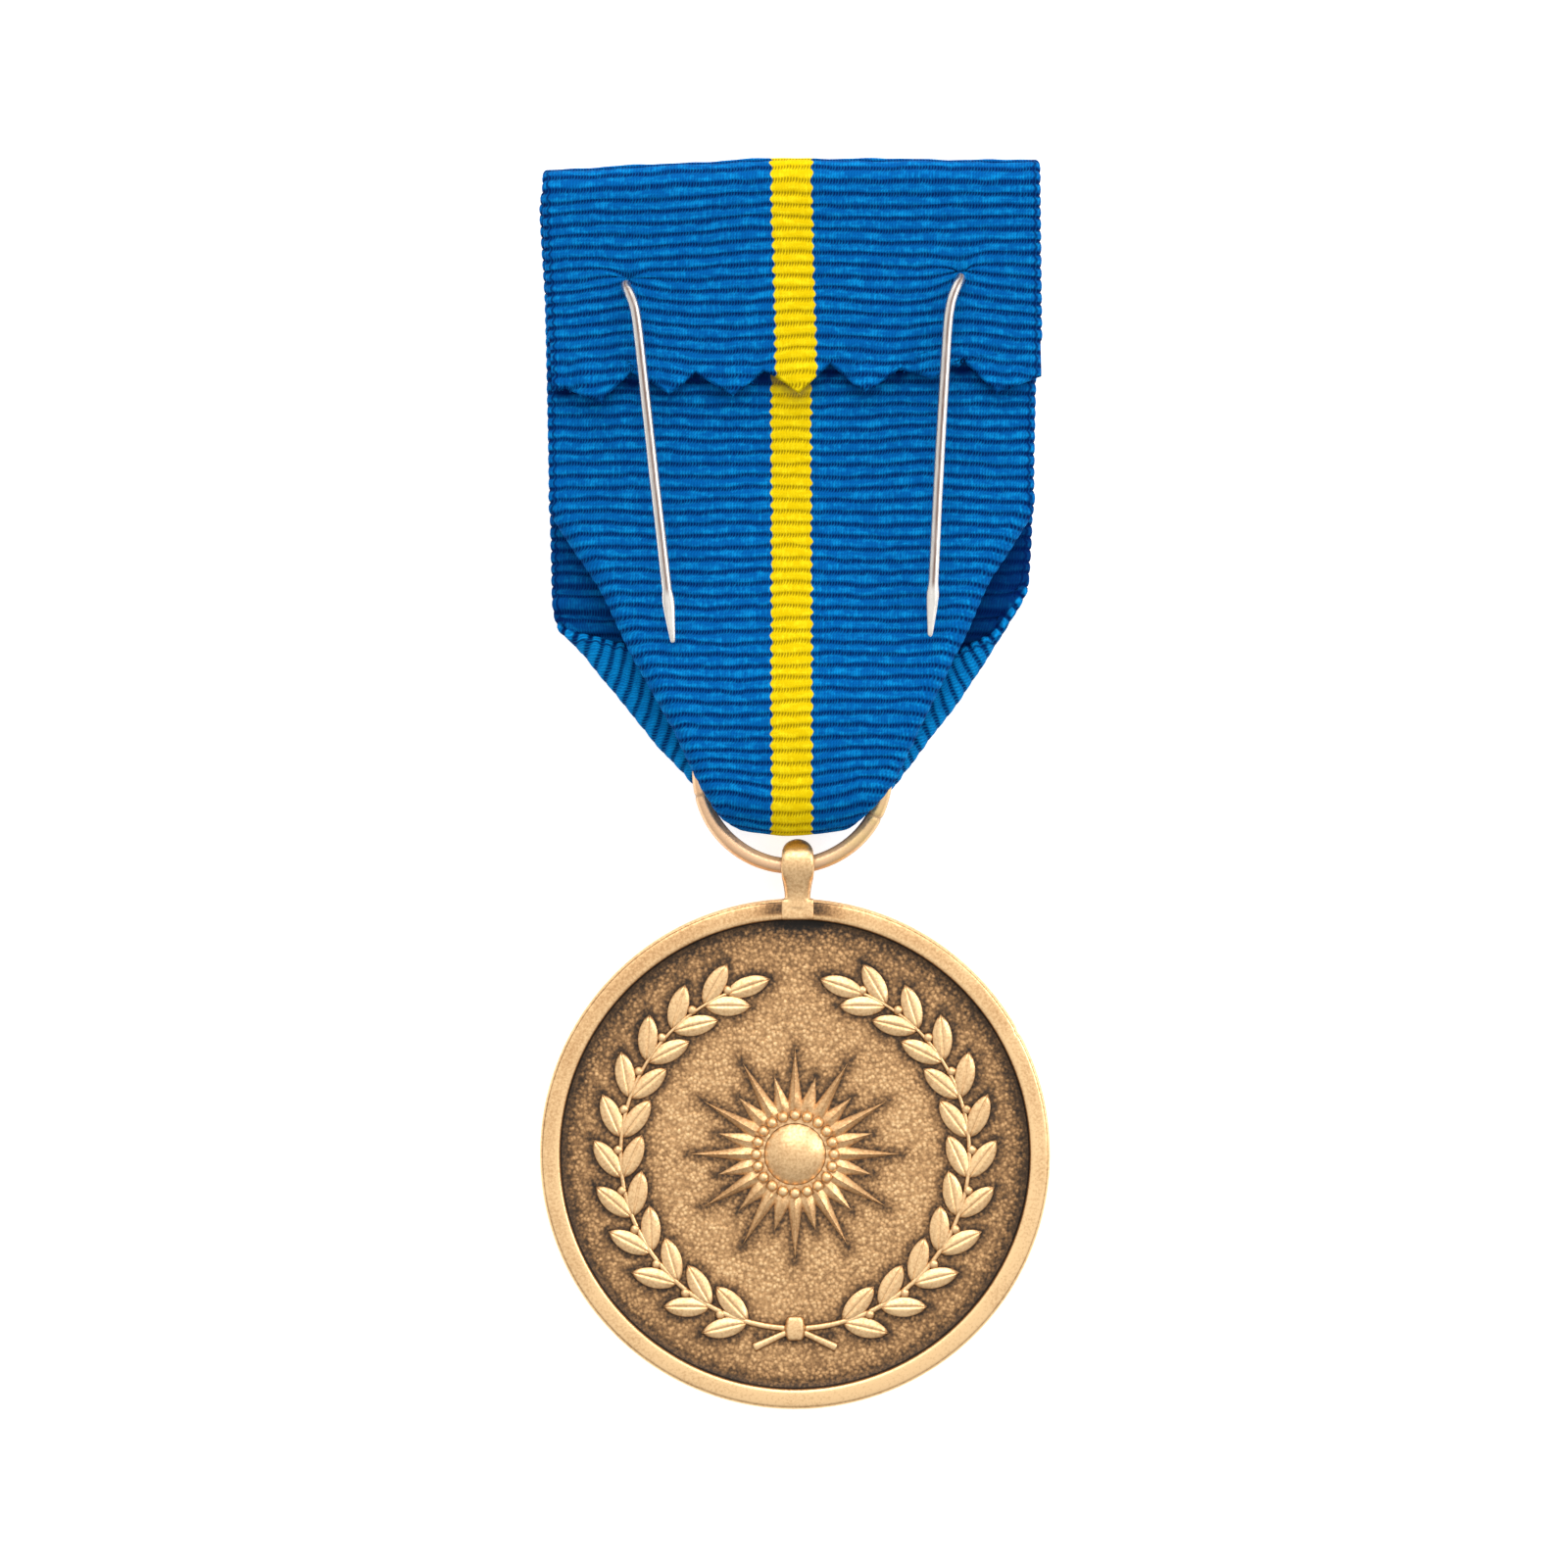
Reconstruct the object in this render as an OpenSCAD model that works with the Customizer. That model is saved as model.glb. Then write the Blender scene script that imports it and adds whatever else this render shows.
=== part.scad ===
// Military medal lying face down: a bronze medallion on a ring, hung from a folded
// ribbon with two wire prongs at the back. The floor is z = 0, +Y runs from the
// medallion to the top of the ribbon and +Z points away from the wearer.
// The origin is the middle of the whole outline, on the floor. Sizes in millimetres.

/* [Medallion] */
// Diameter of the medallion
disc_d = 36; // [34:0.5:36]
// Thickness of the medallion at its rim
disc_h = 3; // [2.6:0.1:3]
// Width of the flat rim
rim_w = 1.55; // [1.2:0.05:2]
// Depth of the recessed field below the rim, on each side
field_depth = 0.7; // [0.4:0.05:0.9]
// Distance of the medallion's centre to the right of the origin
disc_x = 0.08; // [0:0.01:0.1]
// Overall length from the lower rim to the ribbon's top edge
total_len = 88.3; // [88.3:0.1:90]

/* [Relief] */
// Radius of the wreath's two stems
wreath_r = 12.3; // [12:0.1:12.6]
// Length of a laurel leaf
leaf_len = 3.5; // [2.8:0.1:3.8]
// Width of a laurel leaf
leaf_w = 1.4; // [1:0.1:1.6]
// Pairs of leaves on each branch
leaf_pairs = 11; // [8:1:12]
// Radius of the long rays of the central sunburst
ray_r = 7.6; // [6.5:0.1:8]
// Number of long rays
ray_count = 12; // [8:1:16]

/* [Bail] */
// Width of the bail across its eye
bail_w = 2.35; // [2:0.05:2.5]
// Radius of the eye that the ring runs through
eye_r = 1; // [0.9:0.02:1.04]
// Thickness of the metal round the eye
eye_wall = 0.7; // [0.6:0.05:0.7]

/* [Suspension ring] */
// Outer diameter of the ring
ring_d = 14.15; // [14:0.05:14.2]
// Diameter of the ring's wire
ring_wire_d = 1.14; // [1:0.02:1.16]
// Slope of the slack ring, in degrees
ring_tilt = 2.9; // [2.6:0.1:3.2]

/* [Ribbon] */
// Thickness of the cloth
cloth_t = 1; // [0.95:0.01:1]
// Clear gap inside a pressed fold
fold_gap = 0.12; // [0.1:0.01:0.14]
// Depth of the pinked teeth at the tail's end
tooth_depth = 1.66; // [0.8:0.02:2]
// How far the left corner of the top fold hangs lower than the rest
top_droop = 0.83; // [0:0.01:1]

/* [Brooch pin] */
// Diameter of the pin's wire
pin_d = 0.8; // [0.7:0.02:0.82]

/* [Hidden] */
$fn = 64;
bronze = [0.72, 0.54, 0.36];
copper = [0.8, 0.58, 0.42];
blue = [0.02, 0.4, 0.72];
steel = [0.78, 0.76, 0.74];

// Medallion, worked out from the driving sizes
disc_r = disc_d / 2;
disc_y = disc_r - total_len / 2;
field_r = disc_r - rim_w;
field_z = disc_h - field_depth;
disc_top = disc_y + disc_r;
rim_chamfer = 0.3;
field_draft = 0.25;

// Relief on the field: each form is rooted a little below the field
relief_root = 0.2;
leaf_h = 0.5;
leaf_angles = [62, 122];
end_leaf_root = 0.3;
stem_w = 0.4;
stem_h = 0.5;
branch_start = -80;
branch_sweep = 146;
berry_r = 0.42;
berry_step = 2.1;
berry_lift = 0.1;
short_ray = 0.76;
ray_valley = 0.52;
ray_root = 0.05;
ray_peak = 1;
boss_r = 2.2;
boss_h = 0.8;
boss_ball_r = 3.4;
bead_count = 20;
bead_r = 0.4;
bead_ring_r = 2.75;
bead_lift = 0.35;
tie_w = 1.5;
tie_h = 0.8;
stem_end_angle = 25;
stem_end_len = 3.2;
stem_end_w = 0.5;

// Bail and ring: the ring's lowest point lies in the eye
ring_r = (ring_d - ring_wire_d) / 2;
wire_r = ring_wire_d / 2;
ring_x = -0.12;
ring_y = 0.68;
ring_low_z = 2.55;
ring_rise = ring_r * sin(ring_tilt);
bail_x = 0.26;
bail_r = eye_r + eye_wall;
eye_y = ring_y - ring_r + 0.22;
eye_z = ring_low_z - 0.2;
head_step = 0.55;
head_drop = 0.1;
neck_w = 1.8;
neck_z = 1;
neck_t = 2.3;
neck_root = 0.6;
tab_len = 1.5;
tab_lift = 0.2;

// Ribbon levels above the floor, measured at the middle of the cloth
half_t = cloth_t / 2;
bend_r = (cloth_t + fold_gap) / 2;
top_y = total_len / 2;
front_z = half_t;
back_z = 5.42;
flap_z = 3.75;
loop_r = (back_z - front_z) / 2;
loop_y = -3.64 + loop_r + half_t;
roll_r = (flap_z - front_z) / 2;
roll_y = top_y - roll_r - half_t;

// Height of the back layer along the ribbon: y, z at the middle of the cloth
back_levels = [
    [-0.7, 5.42],
    [4.8, 5.42],
    [8.3, 4.7],
    [11.8, 3.9],
    [17.8, 3],
    [21.8, 2.65],
    [34.2, 2.65],
];

// Outline of the back layer: y, left edge, right edge
back_edges = [
    [-3.7, -3.4, 3.4],
    [-2.85, -4.6, 4.4],
    [-1.5, -5.8, 5.65],
    [-0.4, -6.45, 6.6],
    [3.2, -8.15, 8.45],
    [6.4, -10.05, 10.05],
    [9.4, -11.75, 11.5],
    [11.3, -12.75, 12.55],
    [13.8, -13.75, 13.6],
    [16.4, -15.55, 15.2],
    [18.2, -16.65, 16.2],
    [20, -17.15, 16.9],
    [34.2, -17.45, 17.05],
];

// Outline of the front layer: y, left edge, right edge
front_edges = [
    [-3.7, -3.6, 3.6],
    [-2.85, -4.65, 4.4],
    [-1.8, -5.7, 5.45],
    [-0.7, -7.05, 7.1],
    [2.7, -9.55, 9.4],
    [5.5, -11.9, 11.6],
    [8.2, -14.25, 13.4],
    [10.8, -16.3, 15],
    [11.7, -16.9, 15.5],
    [12.4, -17.05, 15.9],
    [13.8, -17.15, 16.55],
    [17.2, -17.2, 16.8],
    [23.4, -17.35, 17],
    [34.5, -17.6, 17.25],
    [41.4, -18, 17.45],
    [44.2, -18.05, 17.35],
];

// Outline of the tail flap: y, left edge, right edge
flap_edges = [
    [28, -17.15, 17.45],
    [34.5, -17.6, 17.25],
    [41.4, -18, 17.45],
    [44.2, -18.05, 17.35],
];

// Cloth turned in behind the back layer: y, left width, right width
back_tucks = [
    [-4, 1.7, 1.7],
    [3, 2, 2],
    [14, 2.3, 2.3],
    [16.5, 1.6, 1.6],
    [19, 0.3, 0.3],
];

// Cloth turned in behind the front layer: y, left width, right width
front_tucks = [
    [-4, 1.7, 1.7],
    [0, 2.4, 2.2],
    [5, 3.8, 3.2],
    [9.95, 3.9, 3.2],
    [10.4, 2.2, 2.5],
    [10.9, 0.3, 1.1],
    [11.7, 0.3, 0.5],
    [13.4, 0.3, 0.3],
];

// Line of the valleys of the pinked edge: x, y
pinked_line = [
    [-17, 27.9],
    [-11.5, 28.5],
    [-7, 28.9],
    [2.5, 29.3],
    [17, 29.2],
];

// Rows and columns of the cloth
back_rows = [34.2, 28, 22, 20, 18.5, 16.5, 14.5, 12.5, 10.6, 8.6, 6.6, 4.4, 2.2, 0.6];
front_rows = [0.6, 2.2, 4.4, 7, 9.5, 9.95, 10.4, 10.9, 11.7, 13.4, 16, 22, 30, 37];
flap_rows = [38, 33, 30.6];
loop_steps = 8;
roll_steps = 6;
flat_cols = 14;
curl_cols = 5;
loop_lift = 0.75;
loop_lift_x = 4.6;
loop_fade = 6;
droop_x = -1.8;
droop_fade = 12;

// Brooch pin: joints of each side's wire, from the hidden bar to the straight prong
pin_r = pin_d / 2;
prong_left = [
    [-11.8, 35.4, 2.12],
    [-11.72, 34.75, 4.55],
    [-11.45, 34.2, 5.1],
    [-10.95, 33.2, 5.32],
    [-8.93, 13.1, 6],
];
prong_right = [
    [11.75, 35.9, 2.12],
    [11.6, 35.2, 4.55],
    [11.35, 34.7, 5.1],
    [10.9, 33.7, 5.32],
    [9.79, 13.55, 6],
];
tip_len = 3.3;
tip_half_w = 0.44;
tip_half_h = 0.3;
tip_root = 0.25;
tip_root_half_w = 0.3;
tip_swell = 0.7;
tip_shoulder = 1.7;
tip_end_half_w = 0.12;
wire_bend = 0.34;
bend_steps = 4;
bend_undersize = 0.015;
wire_sides = 12;
prong_overlap = 0.6;
hidden_run = concat([for (k = [3:-1:0]) prong_left[k]], [for (k = [0:3]) prong_right[k]]);
pin_clearance = 0.22;
hole_sides = 12;

// Point inside the straight prong at which the bent wire starts
function into_prong(joints) = joints[3] + prong_overlap * unit(joints[4] - joints[3]);

function clamp(v, low, high) = min(max(v, low), high);
function column(table, k) = [for (row = table) [row[0], row[k]]];
function unit(v) = v / norm(v);

// Stations of the ribbon's middle line seen from the side: layer, y, z
path = [
    for (y = back_rows) ["back", y, lookup(y, back_levels)],
    for (i = [0:loop_steps])
        let (a = 90 + 180 * i / loop_steps)
        ["loop", loop_y + loop_r * cos(a), front_z + loop_r + loop_r * sin(a)],
    for (y = front_rows) ["front", y, front_z],
    for (i = [0:roll_steps])
        let (a = -90 + 180 * i / roll_steps)
        ["roll", roll_y + roll_r * cos(a), front_z + roll_r + roll_r * sin(a)],
    for (y = flap_rows) ["flap", y, flap_z],
    ["end", 28, flap_z],
];
last_row = len(path) - 1;
columns = flat_cols + 1 + 2 * (curl_cols + 1);

// Direction of the outer face at a station, from the stations on each side of it
function outward(i) =
    let (a = path[max(i - 1, 0)], b = path[min(i + 1, last_row)])
    let (t = unit([b[1] - a[1], b[2] - a[2]]))
    [t[1], -t[0]];

function is_front(i) = path[i][0] == "front" || (path[i][0] == "loop" && path[i][2] < back_z / 2);
function is_tail(i) = path[i][0] == "flap" || path[i][0] == "end" || path[i][0] == "roll";

// Share of the loop's lift that a station takes
function lift_share(i) =
    is_tail(i) ? 0 : clamp(1 - (path[i][1] - loop_y) / loop_fade, 0, 1);

// Share of the left corner's droop that a station takes
function droop_share(i) = is_front(i) || is_tail(i) ? clamp((path[i][1] - 30) / droop_fade, 0, 1) : 0;

// Height at which a station's outline is read, with the loop's lift taken in
function read_y(i) = path[i][1] + loop_lift * lift_share(i);

function loop_mix(i) = clamp((path[i][2] - front_z) / (back_z - front_z), 0, 1);
function edge_at(i, k) =
    is_tail(i) ? lookup(path[i][1], column(flap_edges, k))
    : path[i][0] == "loop"
        ? loop_mix(i) * lookup(read_y(i), column(back_edges, k))
            + (1 - loop_mix(i)) * lookup(read_y(i), column(front_edges, k))
    : path[i][0] == "back" ? lookup(read_y(i), column(back_edges, k))
    : lookup(read_y(i), column(front_edges, k));
function tuck_at(i, k) =
    is_tail(i) ? 0.3
    : path[i][0] == "back" || path[i][0] == "loop" ? lookup(path[i][1], column(back_tucks, k))
    : lookup(path[i][1], column(front_tucks, k));

// Length of cloth past the start of the fold, for a tuck that shows the width w
full_curl = PI * bend_r;
fold_reach = bend_r + half_t;
function cloth_past(w) = w + (full_curl - fold_reach) * min(1, w / fold_reach);

// Lengths along the curl of its points, from the flat part outwards
function curl_lengths(total) =
    let (curl = min(0.8 * total, full_curl))
    [for (k = [1:curl_cols]) curl * k / curl_cols, total];

// Place and face direction in a section: across, inwards, normal across, normal inwards
function curl_point(s) =
    let (a = min(s / bend_r, PI) * 180 / PI)
    let (past = max(s - full_curl, 0))
    [past - bend_r * sin(a), bend_r - bend_r * cos(a), -sin(a), -cos(a)];

// How far the outer face of a curl of this length reaches past the fold's start
function curl_reach(total) = fold_reach * sin(min(total / bend_r * 180 / PI, 90));

function section(i) =
    let (cl = cloth_past(tuck_at(i, 1)), cr = cloth_past(tuck_at(i, 2)))
    let (xl = edge_at(i, 1) + curl_reach(cl), xr = edge_at(i, 2) - curl_reach(cr))
    let (ll = curl_lengths(cl), lr = curl_lengths(cr))
    [
        for (k = [curl_cols:-1:0]) let (p = curl_point(ll[k])) [xl + p[0], p[1], p[2], p[3]],
        for (k = [0:flat_cols]) [xl + (xr - xl) * k / flat_cols, 0, 0, -1],
        for (k = [0:curl_cols]) let (p = curl_point(lr[k])) [xr - p[0], p[1], -p[2], p[3]],
    ];

// The pinked end: every second column is the tip of a tooth
function is_tip(j) = (j - curl_cols - 1) % 2 != 0;
function pinked_y(x, j) =
    lookup(x, pinked_line)
    - (j > curl_cols && j < columns - curl_cols - 1 && is_tip(j) ? tooth_depth : 0);

function shifted_y(i, y, x, j) =
    (path[i][0] == "end" ? pinked_y(x, j) : y)
    + loop_lift * lift_share(i) * pow(clamp(abs(x) / loop_lift_x, 0, 1), 2)
    - top_droop * droop_share(i) * clamp((droop_x - x) / 15.8, 0, 1);

// One skin of the cloth: side is 1 for the outer face and -1 for the inner face
function skin(side) = [
    for (i = [0:last_row])
        let (n = outward(i), s = section(i))
        for (j = [0:columns - 1])
            let (p = s[j])
            let (x = p[0] + side * half_t * p[2])
            let (depth = p[1] + side * half_t * p[3])
            [
                x,
                shifted_y(i, path[i][1] - n[0] * depth, x, j),
                path[i][2] - n[1] * depth,
            ]
];

module cloth() {
    rows = last_row + 1;
    skin_size = rows * columns;
    function at(side, i, j) = side * skin_size + i * columns + j;
    quads = [
        for (i = [0:rows - 2])
            for (j = [0:columns - 2])
                each [
                    [at(0, i, j), at(0, i, j + 1), at(0, i + 1, j + 1), at(0, i + 1, j)],
                    [at(1, i, j), at(1, i + 1, j), at(1, i + 1, j + 1), at(1, i, j + 1)],
                ],
        for (i = [0:rows - 2])
            each [
                [at(0, i, 0), at(0, i + 1, 0), at(1, i + 1, 0), at(1, i, 0)],
                [
                    at(0, i + 1, columns - 1), at(0, i, columns - 1),
                    at(1, i, columns - 1), at(1, i + 1, columns - 1)
                ],
            ],
        for (j = [0:columns - 2])
            each [
                [at(0, 0, j + 1), at(0, 0, j), at(1, 0, j), at(1, 0, j + 1)],
                [at(0, rows - 1, j), at(0, rows - 1, j + 1), at(1, rows - 1, j + 1), at(1, rows - 1, j)],
            ],
    ];
    polyhedron(
        points = concat(skin(1), skin(-1)),
        faces = [for (q = quads) each [[q[0], q[1], q[2]], [q[0], q[2], q[3]]]],
        convexity = 8
    );
}

// A straight round wire from a to b
module straight_wire(a, b, r) {
    d = b - a;
    translate(a)
        rotate([0, acos(d[2] / norm(d)), atan2(d[1], d[0])])
            cylinder(h = norm(d), r = r);
}

// Centres along a wire through the points, its inner corners rounded by parabolas
function heading(points, i) = unit(points[i + 1] - points[i]);
function rounded_path(points) = concat(
    [points[0]],
    [
        for (i = [1:len(points) - 2])
            let (a = points[i] - heading(points, i - 1) * wire_bend)
            let (b = points[i] + heading(points, i) * wire_bend)
            for (k = [0:bend_steps])
                let (t = k / bend_steps)
                (1 - t) * (1 - t) * a + 2 * t * (1 - t) * points[i] + t * t * b
    ],
    [points[len(points) - 1]]
);

// A bent wire: rings of wire_sides points round the path, joined into one closed skin
module bent_wire(points, r) {
    path = rounded_path(points);
    last = len(path) - 1;
    rings = [
        for (i = [0:last])
            let (along = unit(path[min(i + 1, last)] - path[max(i - 1, 0)]))
            let (side = unit(cross(along, [1, 1, 1])))
            let (up = cross(side, along))
            for (k = [0:wire_sides - 1])
                let (a = 360 * k / wire_sides)
                path[i] + r * cos(a) * side + r * sin(a) * up
    ];
    function at(i, k) = i * wire_sides + k % wire_sides;
    polyhedron(
        points = rings,
        faces = [
            [for (k = [wire_sides - 1:-1:0]) at(0, k)],
            [for (k = [0:wire_sides - 1]) at(last, k)],
            for (i = [0:last - 1])
                for (k = [0:wire_sides - 1])
                    each [
                        [at(i, k), at(i, k + 1), at(i + 1, k + 1)],
                        [at(i, k), at(i + 1, k + 1), at(i + 1, k)],
                    ],
        ],
        convexity = 6
    );
}

module ribbon() {
    color(blue)
        difference() {
            cloth();
            pin_hole(prong_left);
            pin_hole(prong_right);
        }
}

// Room for the prong where it comes up through the tail flap
module pin_hole(joints) {
    straight_wire(joints[0], joints[1], pin_r + pin_clearance, $fn = hole_sides);
}

// Flattened tip in line with its prong: a wide, thin, pointed blade
module tip(joints) {
    d = joints[4] - joints[3];
    translate(joints[4])
        rotate([0, acos(d[2] / norm(d)), atan2(d[1], d[0])])
            intersection() {
                translate([0, 0, -tip_root])
                    cylinder(h = tip_root + tip_len, r = tip_half_w + 0.01, $fn = hole_sides);
                rotate([0, -90, 0])
                    translate([0, 0, -tip_half_h])
                        linear_extrude(2 * tip_half_h)
                            polygon([
                                [-tip_root, -tip_root_half_w],
                                [tip_swell, -tip_half_w],
                                [tip_shoulder, -tip_half_w],
                                [tip_len, -tip_end_half_w],
                                [tip_len, tip_end_half_w],
                                [tip_shoulder, tip_half_w],
                                [tip_swell, tip_half_w],
                                [-tip_root, tip_root_half_w],
                            ]);
            }
}

module brooch_pin() {
    color(steel) {
        bent_wire(
            concat([into_prong(prong_left)], hidden_run, [into_prong(prong_right)]),
            pin_r - bend_undersize
        );
        for (joints = [prong_left, prong_right]) {
            straight_wire(joints[3], joints[4], pin_r);
            tip(joints);
        }
    }
}

module suspension_ring() {
    color(copper)
        translate([ring_x, ring_y, ring_low_z + ring_rise])
            rotate([ring_tilt, 0, 0])
                rotate_extrude()
                    translate([ring_r, 0]) circle(wire_r);
}

// Solid of the disc: rims left proud on both sides of the two recessed fields
module disc() {
    rotate_extrude($fn = 128)
        polygon([
            [0, field_depth],
            [field_r - field_draft, field_depth],
            [field_r, 0],
            [disc_r - rim_chamfer, 0],
            [disc_r, rim_chamfer],
            [disc_r, disc_h - rim_chamfer],
            [disc_r - rim_chamfer, disc_h],
            [field_r, disc_h],
            [field_r - field_draft, field_z],
            [0, field_z],
        ]);
}

// Pointed leaf along +X, from two crossing arcs
module leaf(length, width) {
    arc_r = (length * length + width * width) / (4 * width);
    linear_extrude(leaf_h)
        intersection() {
            translate([length / 2, arc_r - width / 2]) circle(arc_r);
            translate([length / 2, width / 2 - arc_r]) circle(arc_r);
        }
}

// One branch: a round stem with a leaf on each side and a berry at every step
module branch() {
    rotate([0, 0, branch_start])
        rotate_extrude(angle = branch_sweep)
            translate([wreath_r - stem_w / 2, -relief_root]) square([stem_w, stem_h]);
    for (k = [0:leaf_pairs - 1])
        rotate([0, 0, branch_start + branch_sweep * (k + 0.4) / leaf_pairs])
            translate([wreath_r, 0, -relief_root]) {
                for (a = leaf_angles) rotate([0, 0, a]) leaf(leaf_len, leaf_w);
                translate([0, berry_step, berry_lift]) sphere(berry_r, $fn = 24);
            }
    rotate([0, 0, branch_start + branch_sweep])
        translate([wreath_r, -end_leaf_root, -relief_root])
            rotate([0, 0, 95]) leaf(leaf_len, leaf_w);
}

// Sunburst: ridged rays that rise to the middle, long and short in turn
module sunburst() {
    steps = 4 * ray_count;
    function ray_reach(k) = k % 4 == 0 ? 1 : k % 4 == 2 ? short_ray : ray_valley;
    rim = [
        for (k = [0:steps - 1])
            let (r = ray_r * ray_reach(k), a = 90 + 360 * k / steps)
            [r * cos(a), r * sin(a), -ray_root]
    ];
    polyhedron(
        points = concat(rim, [[0, 0, -ray_root], [0, 0, ray_peak]]),
        faces = [
            for (k = [0:steps - 1])
                each [
                    [(k + 1) % steps, k, steps + 1],
                    [k, (k + 1) % steps, steps],
                ]
        ]
    );
}

// Boss in the middle of the sunburst, inside a ring of beads
module boss() {
    intersection() {
        translate([0, 0, boss_h - boss_ball_r]) sphere(boss_ball_r);
        cylinder(h = boss_h + 1, r = boss_r);
    }
    for (k = [0:bead_count - 1])
        rotate([0, 0, 360 * k / bead_count])
            translate([bead_ring_r, 0, bead_lift]) sphere(bead_r, $fn = 24);
}

// Tie of the wreath: a band and two short stem ends below it
module tie() {
    translate([0, -wreath_r, -relief_root]) {
        translate([-tie_w / 2, -tie_w * 0.6, 0]) cube([tie_w, tie_w * 1.2, tie_h]);
        for (a = [180 + stem_end_angle, -stem_end_angle])
            rotate([0, 0, a])
                translate([0, -stem_end_w / 2, 0]) cube([stem_end_len, stem_end_w, leaf_h]);
    }
}

module relief() {
    branch();
    mirror([1, 0, 0]) branch();
    tie();
    sunburst();
    boss();
}

// Outline of the bail from the back: a round head, an egg-shaped eye and a neck
module bail_outline() {
    top_r = bail_r - head_step;
    translate([bail_x, eye_y - head_drop]) circle(bail_w / 2);
    translate([bail_x, eye_y + head_step]) circle(top_r);
    polygon([
        [bail_x - bail_w / 2, eye_y - head_drop],
        [bail_x - neck_w / 2, disc_top + 0.1],
        [bail_x - neck_w / 2, disc_top - 1],
        [bail_x + neck_w / 2, disc_top - 1],
        [bail_x + neck_w / 2, disc_top + 0.1],
        [bail_x + bail_w / 2, eye_y - head_drop],
    ]);
}

// Cylinder along X at the eye of the bail
module eye_cylinder(r) {
    translate([bail_x - bail_w, eye_y, eye_z])
        rotate([0, 90, 0]) cylinder(h = 2 * bail_w, r = r);
}

// Bail: an upright eye on a neck, with a tab laid over the rim
module bail() {
    intersection() {
        union() {
            eye_cylinder(bail_r);
            translate([bail_x - bail_w, disc_top - neck_root, neck_z])
                cube([2 * bail_w, eye_y - disc_top - 0.4 + neck_root, neck_t]);
        }
        linear_extrude(2 * disc_h) bail_outline();
    }
    translate([bail_x - bail_w / 2, disc_top - tab_len, field_z])
        cube([bail_w, tab_len, disc_h - field_z + tab_lift]);
}

module medallion() {
    color(bronze)
        difference() {
            union() {
                translate([disc_x, disc_y, 0]) disc();
                translate([disc_x, disc_y, field_z]) relief();
                bail();
            }
            eye_cylinder(eye_r);
        }
}

medallion();
suspension_ring();
ribbon();
brooch_pin();
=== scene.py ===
import math

import bpy
import numpy as np
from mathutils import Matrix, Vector


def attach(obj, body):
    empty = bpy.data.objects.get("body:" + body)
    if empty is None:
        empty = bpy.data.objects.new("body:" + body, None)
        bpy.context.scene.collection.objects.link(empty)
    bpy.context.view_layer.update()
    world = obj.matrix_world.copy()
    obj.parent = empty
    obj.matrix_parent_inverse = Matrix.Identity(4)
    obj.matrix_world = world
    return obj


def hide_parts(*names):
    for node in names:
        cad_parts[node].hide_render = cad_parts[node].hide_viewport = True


bl_info = {
    "name": "Military medal",
    "version": (1, 0, 0),
    "blender": (4, 5, 0),
    "location": "View3D > Sidebar > Medal",
    "description": "Builds the looks of a bronze medal lying face down, with its ribbon, ring and brooch pin",
    "category": "Add Mesh",
}

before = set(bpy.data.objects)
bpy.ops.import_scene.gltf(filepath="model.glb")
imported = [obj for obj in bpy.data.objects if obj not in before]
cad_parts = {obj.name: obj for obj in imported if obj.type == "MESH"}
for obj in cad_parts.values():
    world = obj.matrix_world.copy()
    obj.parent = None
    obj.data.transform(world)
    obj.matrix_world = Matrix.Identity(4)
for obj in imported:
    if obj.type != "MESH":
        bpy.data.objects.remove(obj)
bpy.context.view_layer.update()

# Surfaces are worked out in millimetres and set in metres
MM = 0.001
SEED = 11

# Medallion: place, heights above the floor and sizes of the struck disc
DISC_X = 0.08
DISC_Y = -26.15
DISC_H = 3.0
FIELD_DEPTH = 0.7
FIELD_Z = DISC_H - FIELD_DEPTH
FIELD_CELLS = 256
PEBBLE = 0.42
PEBBLE_H = 0.034
DENT_TURN = 28.7
DENT_DEPTH = 0.09
FIELD_MIDDLE = np.array([DISC_X, DISC_Y, FIELD_Z])

# Relief: wreath, tie, sunburst, boss and beads, above the field
WREATH_R = 12.3
LEAF_LEN = 3.5
LEAF_W = 1.4
LEAF_ANGLES = (62, 122)
LAST_LEAF_ANGLE = 95
BERRY_R = 0.42
BERRY_ASIDE = 2.1
BERRY_LIFT = -0.05
BRANCH_START = -80
STEM_START = -87
BRANCH_SWEEP = 146
TIE_LEAN = 25
TIE_LEN = 3.2
RAY_R = 7.6
SHORT_RAY = 0.76
RAY_VALLEY = 0.52
RAY_PEAK = 1.0
BOSS_R = 2.2
BOSS_H = 0.8
BOSS_BALL_R = 3.4
BEAD_COUNT = 20
BEAD_RING_R = 2.75
BEAD_R = 0.4
BEAD_LIFT = 0.35

# Bail: middle line, eye, head, and half widths of head and neck at each y
BAIL_X = 0.26
EYE_Y = -5.605
EYE_Z = 2.35
BAIL_HEAD_Y = -4.98
BAIL_WIDTHS = ((-8.75, 0.93), (-7.9, 0.9), (-7.3, 0.98), (-6.6, 1.12), (-6.0, 1.18), (-5.5, 1.15),
               (-4.98, 1.12))
BAIL_VOXEL = 0.055
BAIL_SMOOTHING = 6
TAB_HALF_W = 1.15

# Ring: middle, tilt in degrees, and the turn and depth of the two marks of its closing cut
RING_AT = (-0.12, 0.68, 2.55)
RING_TILT = 2.9
RING_SEAMS = ((193, 0.07), (333, 0.08))

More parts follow.
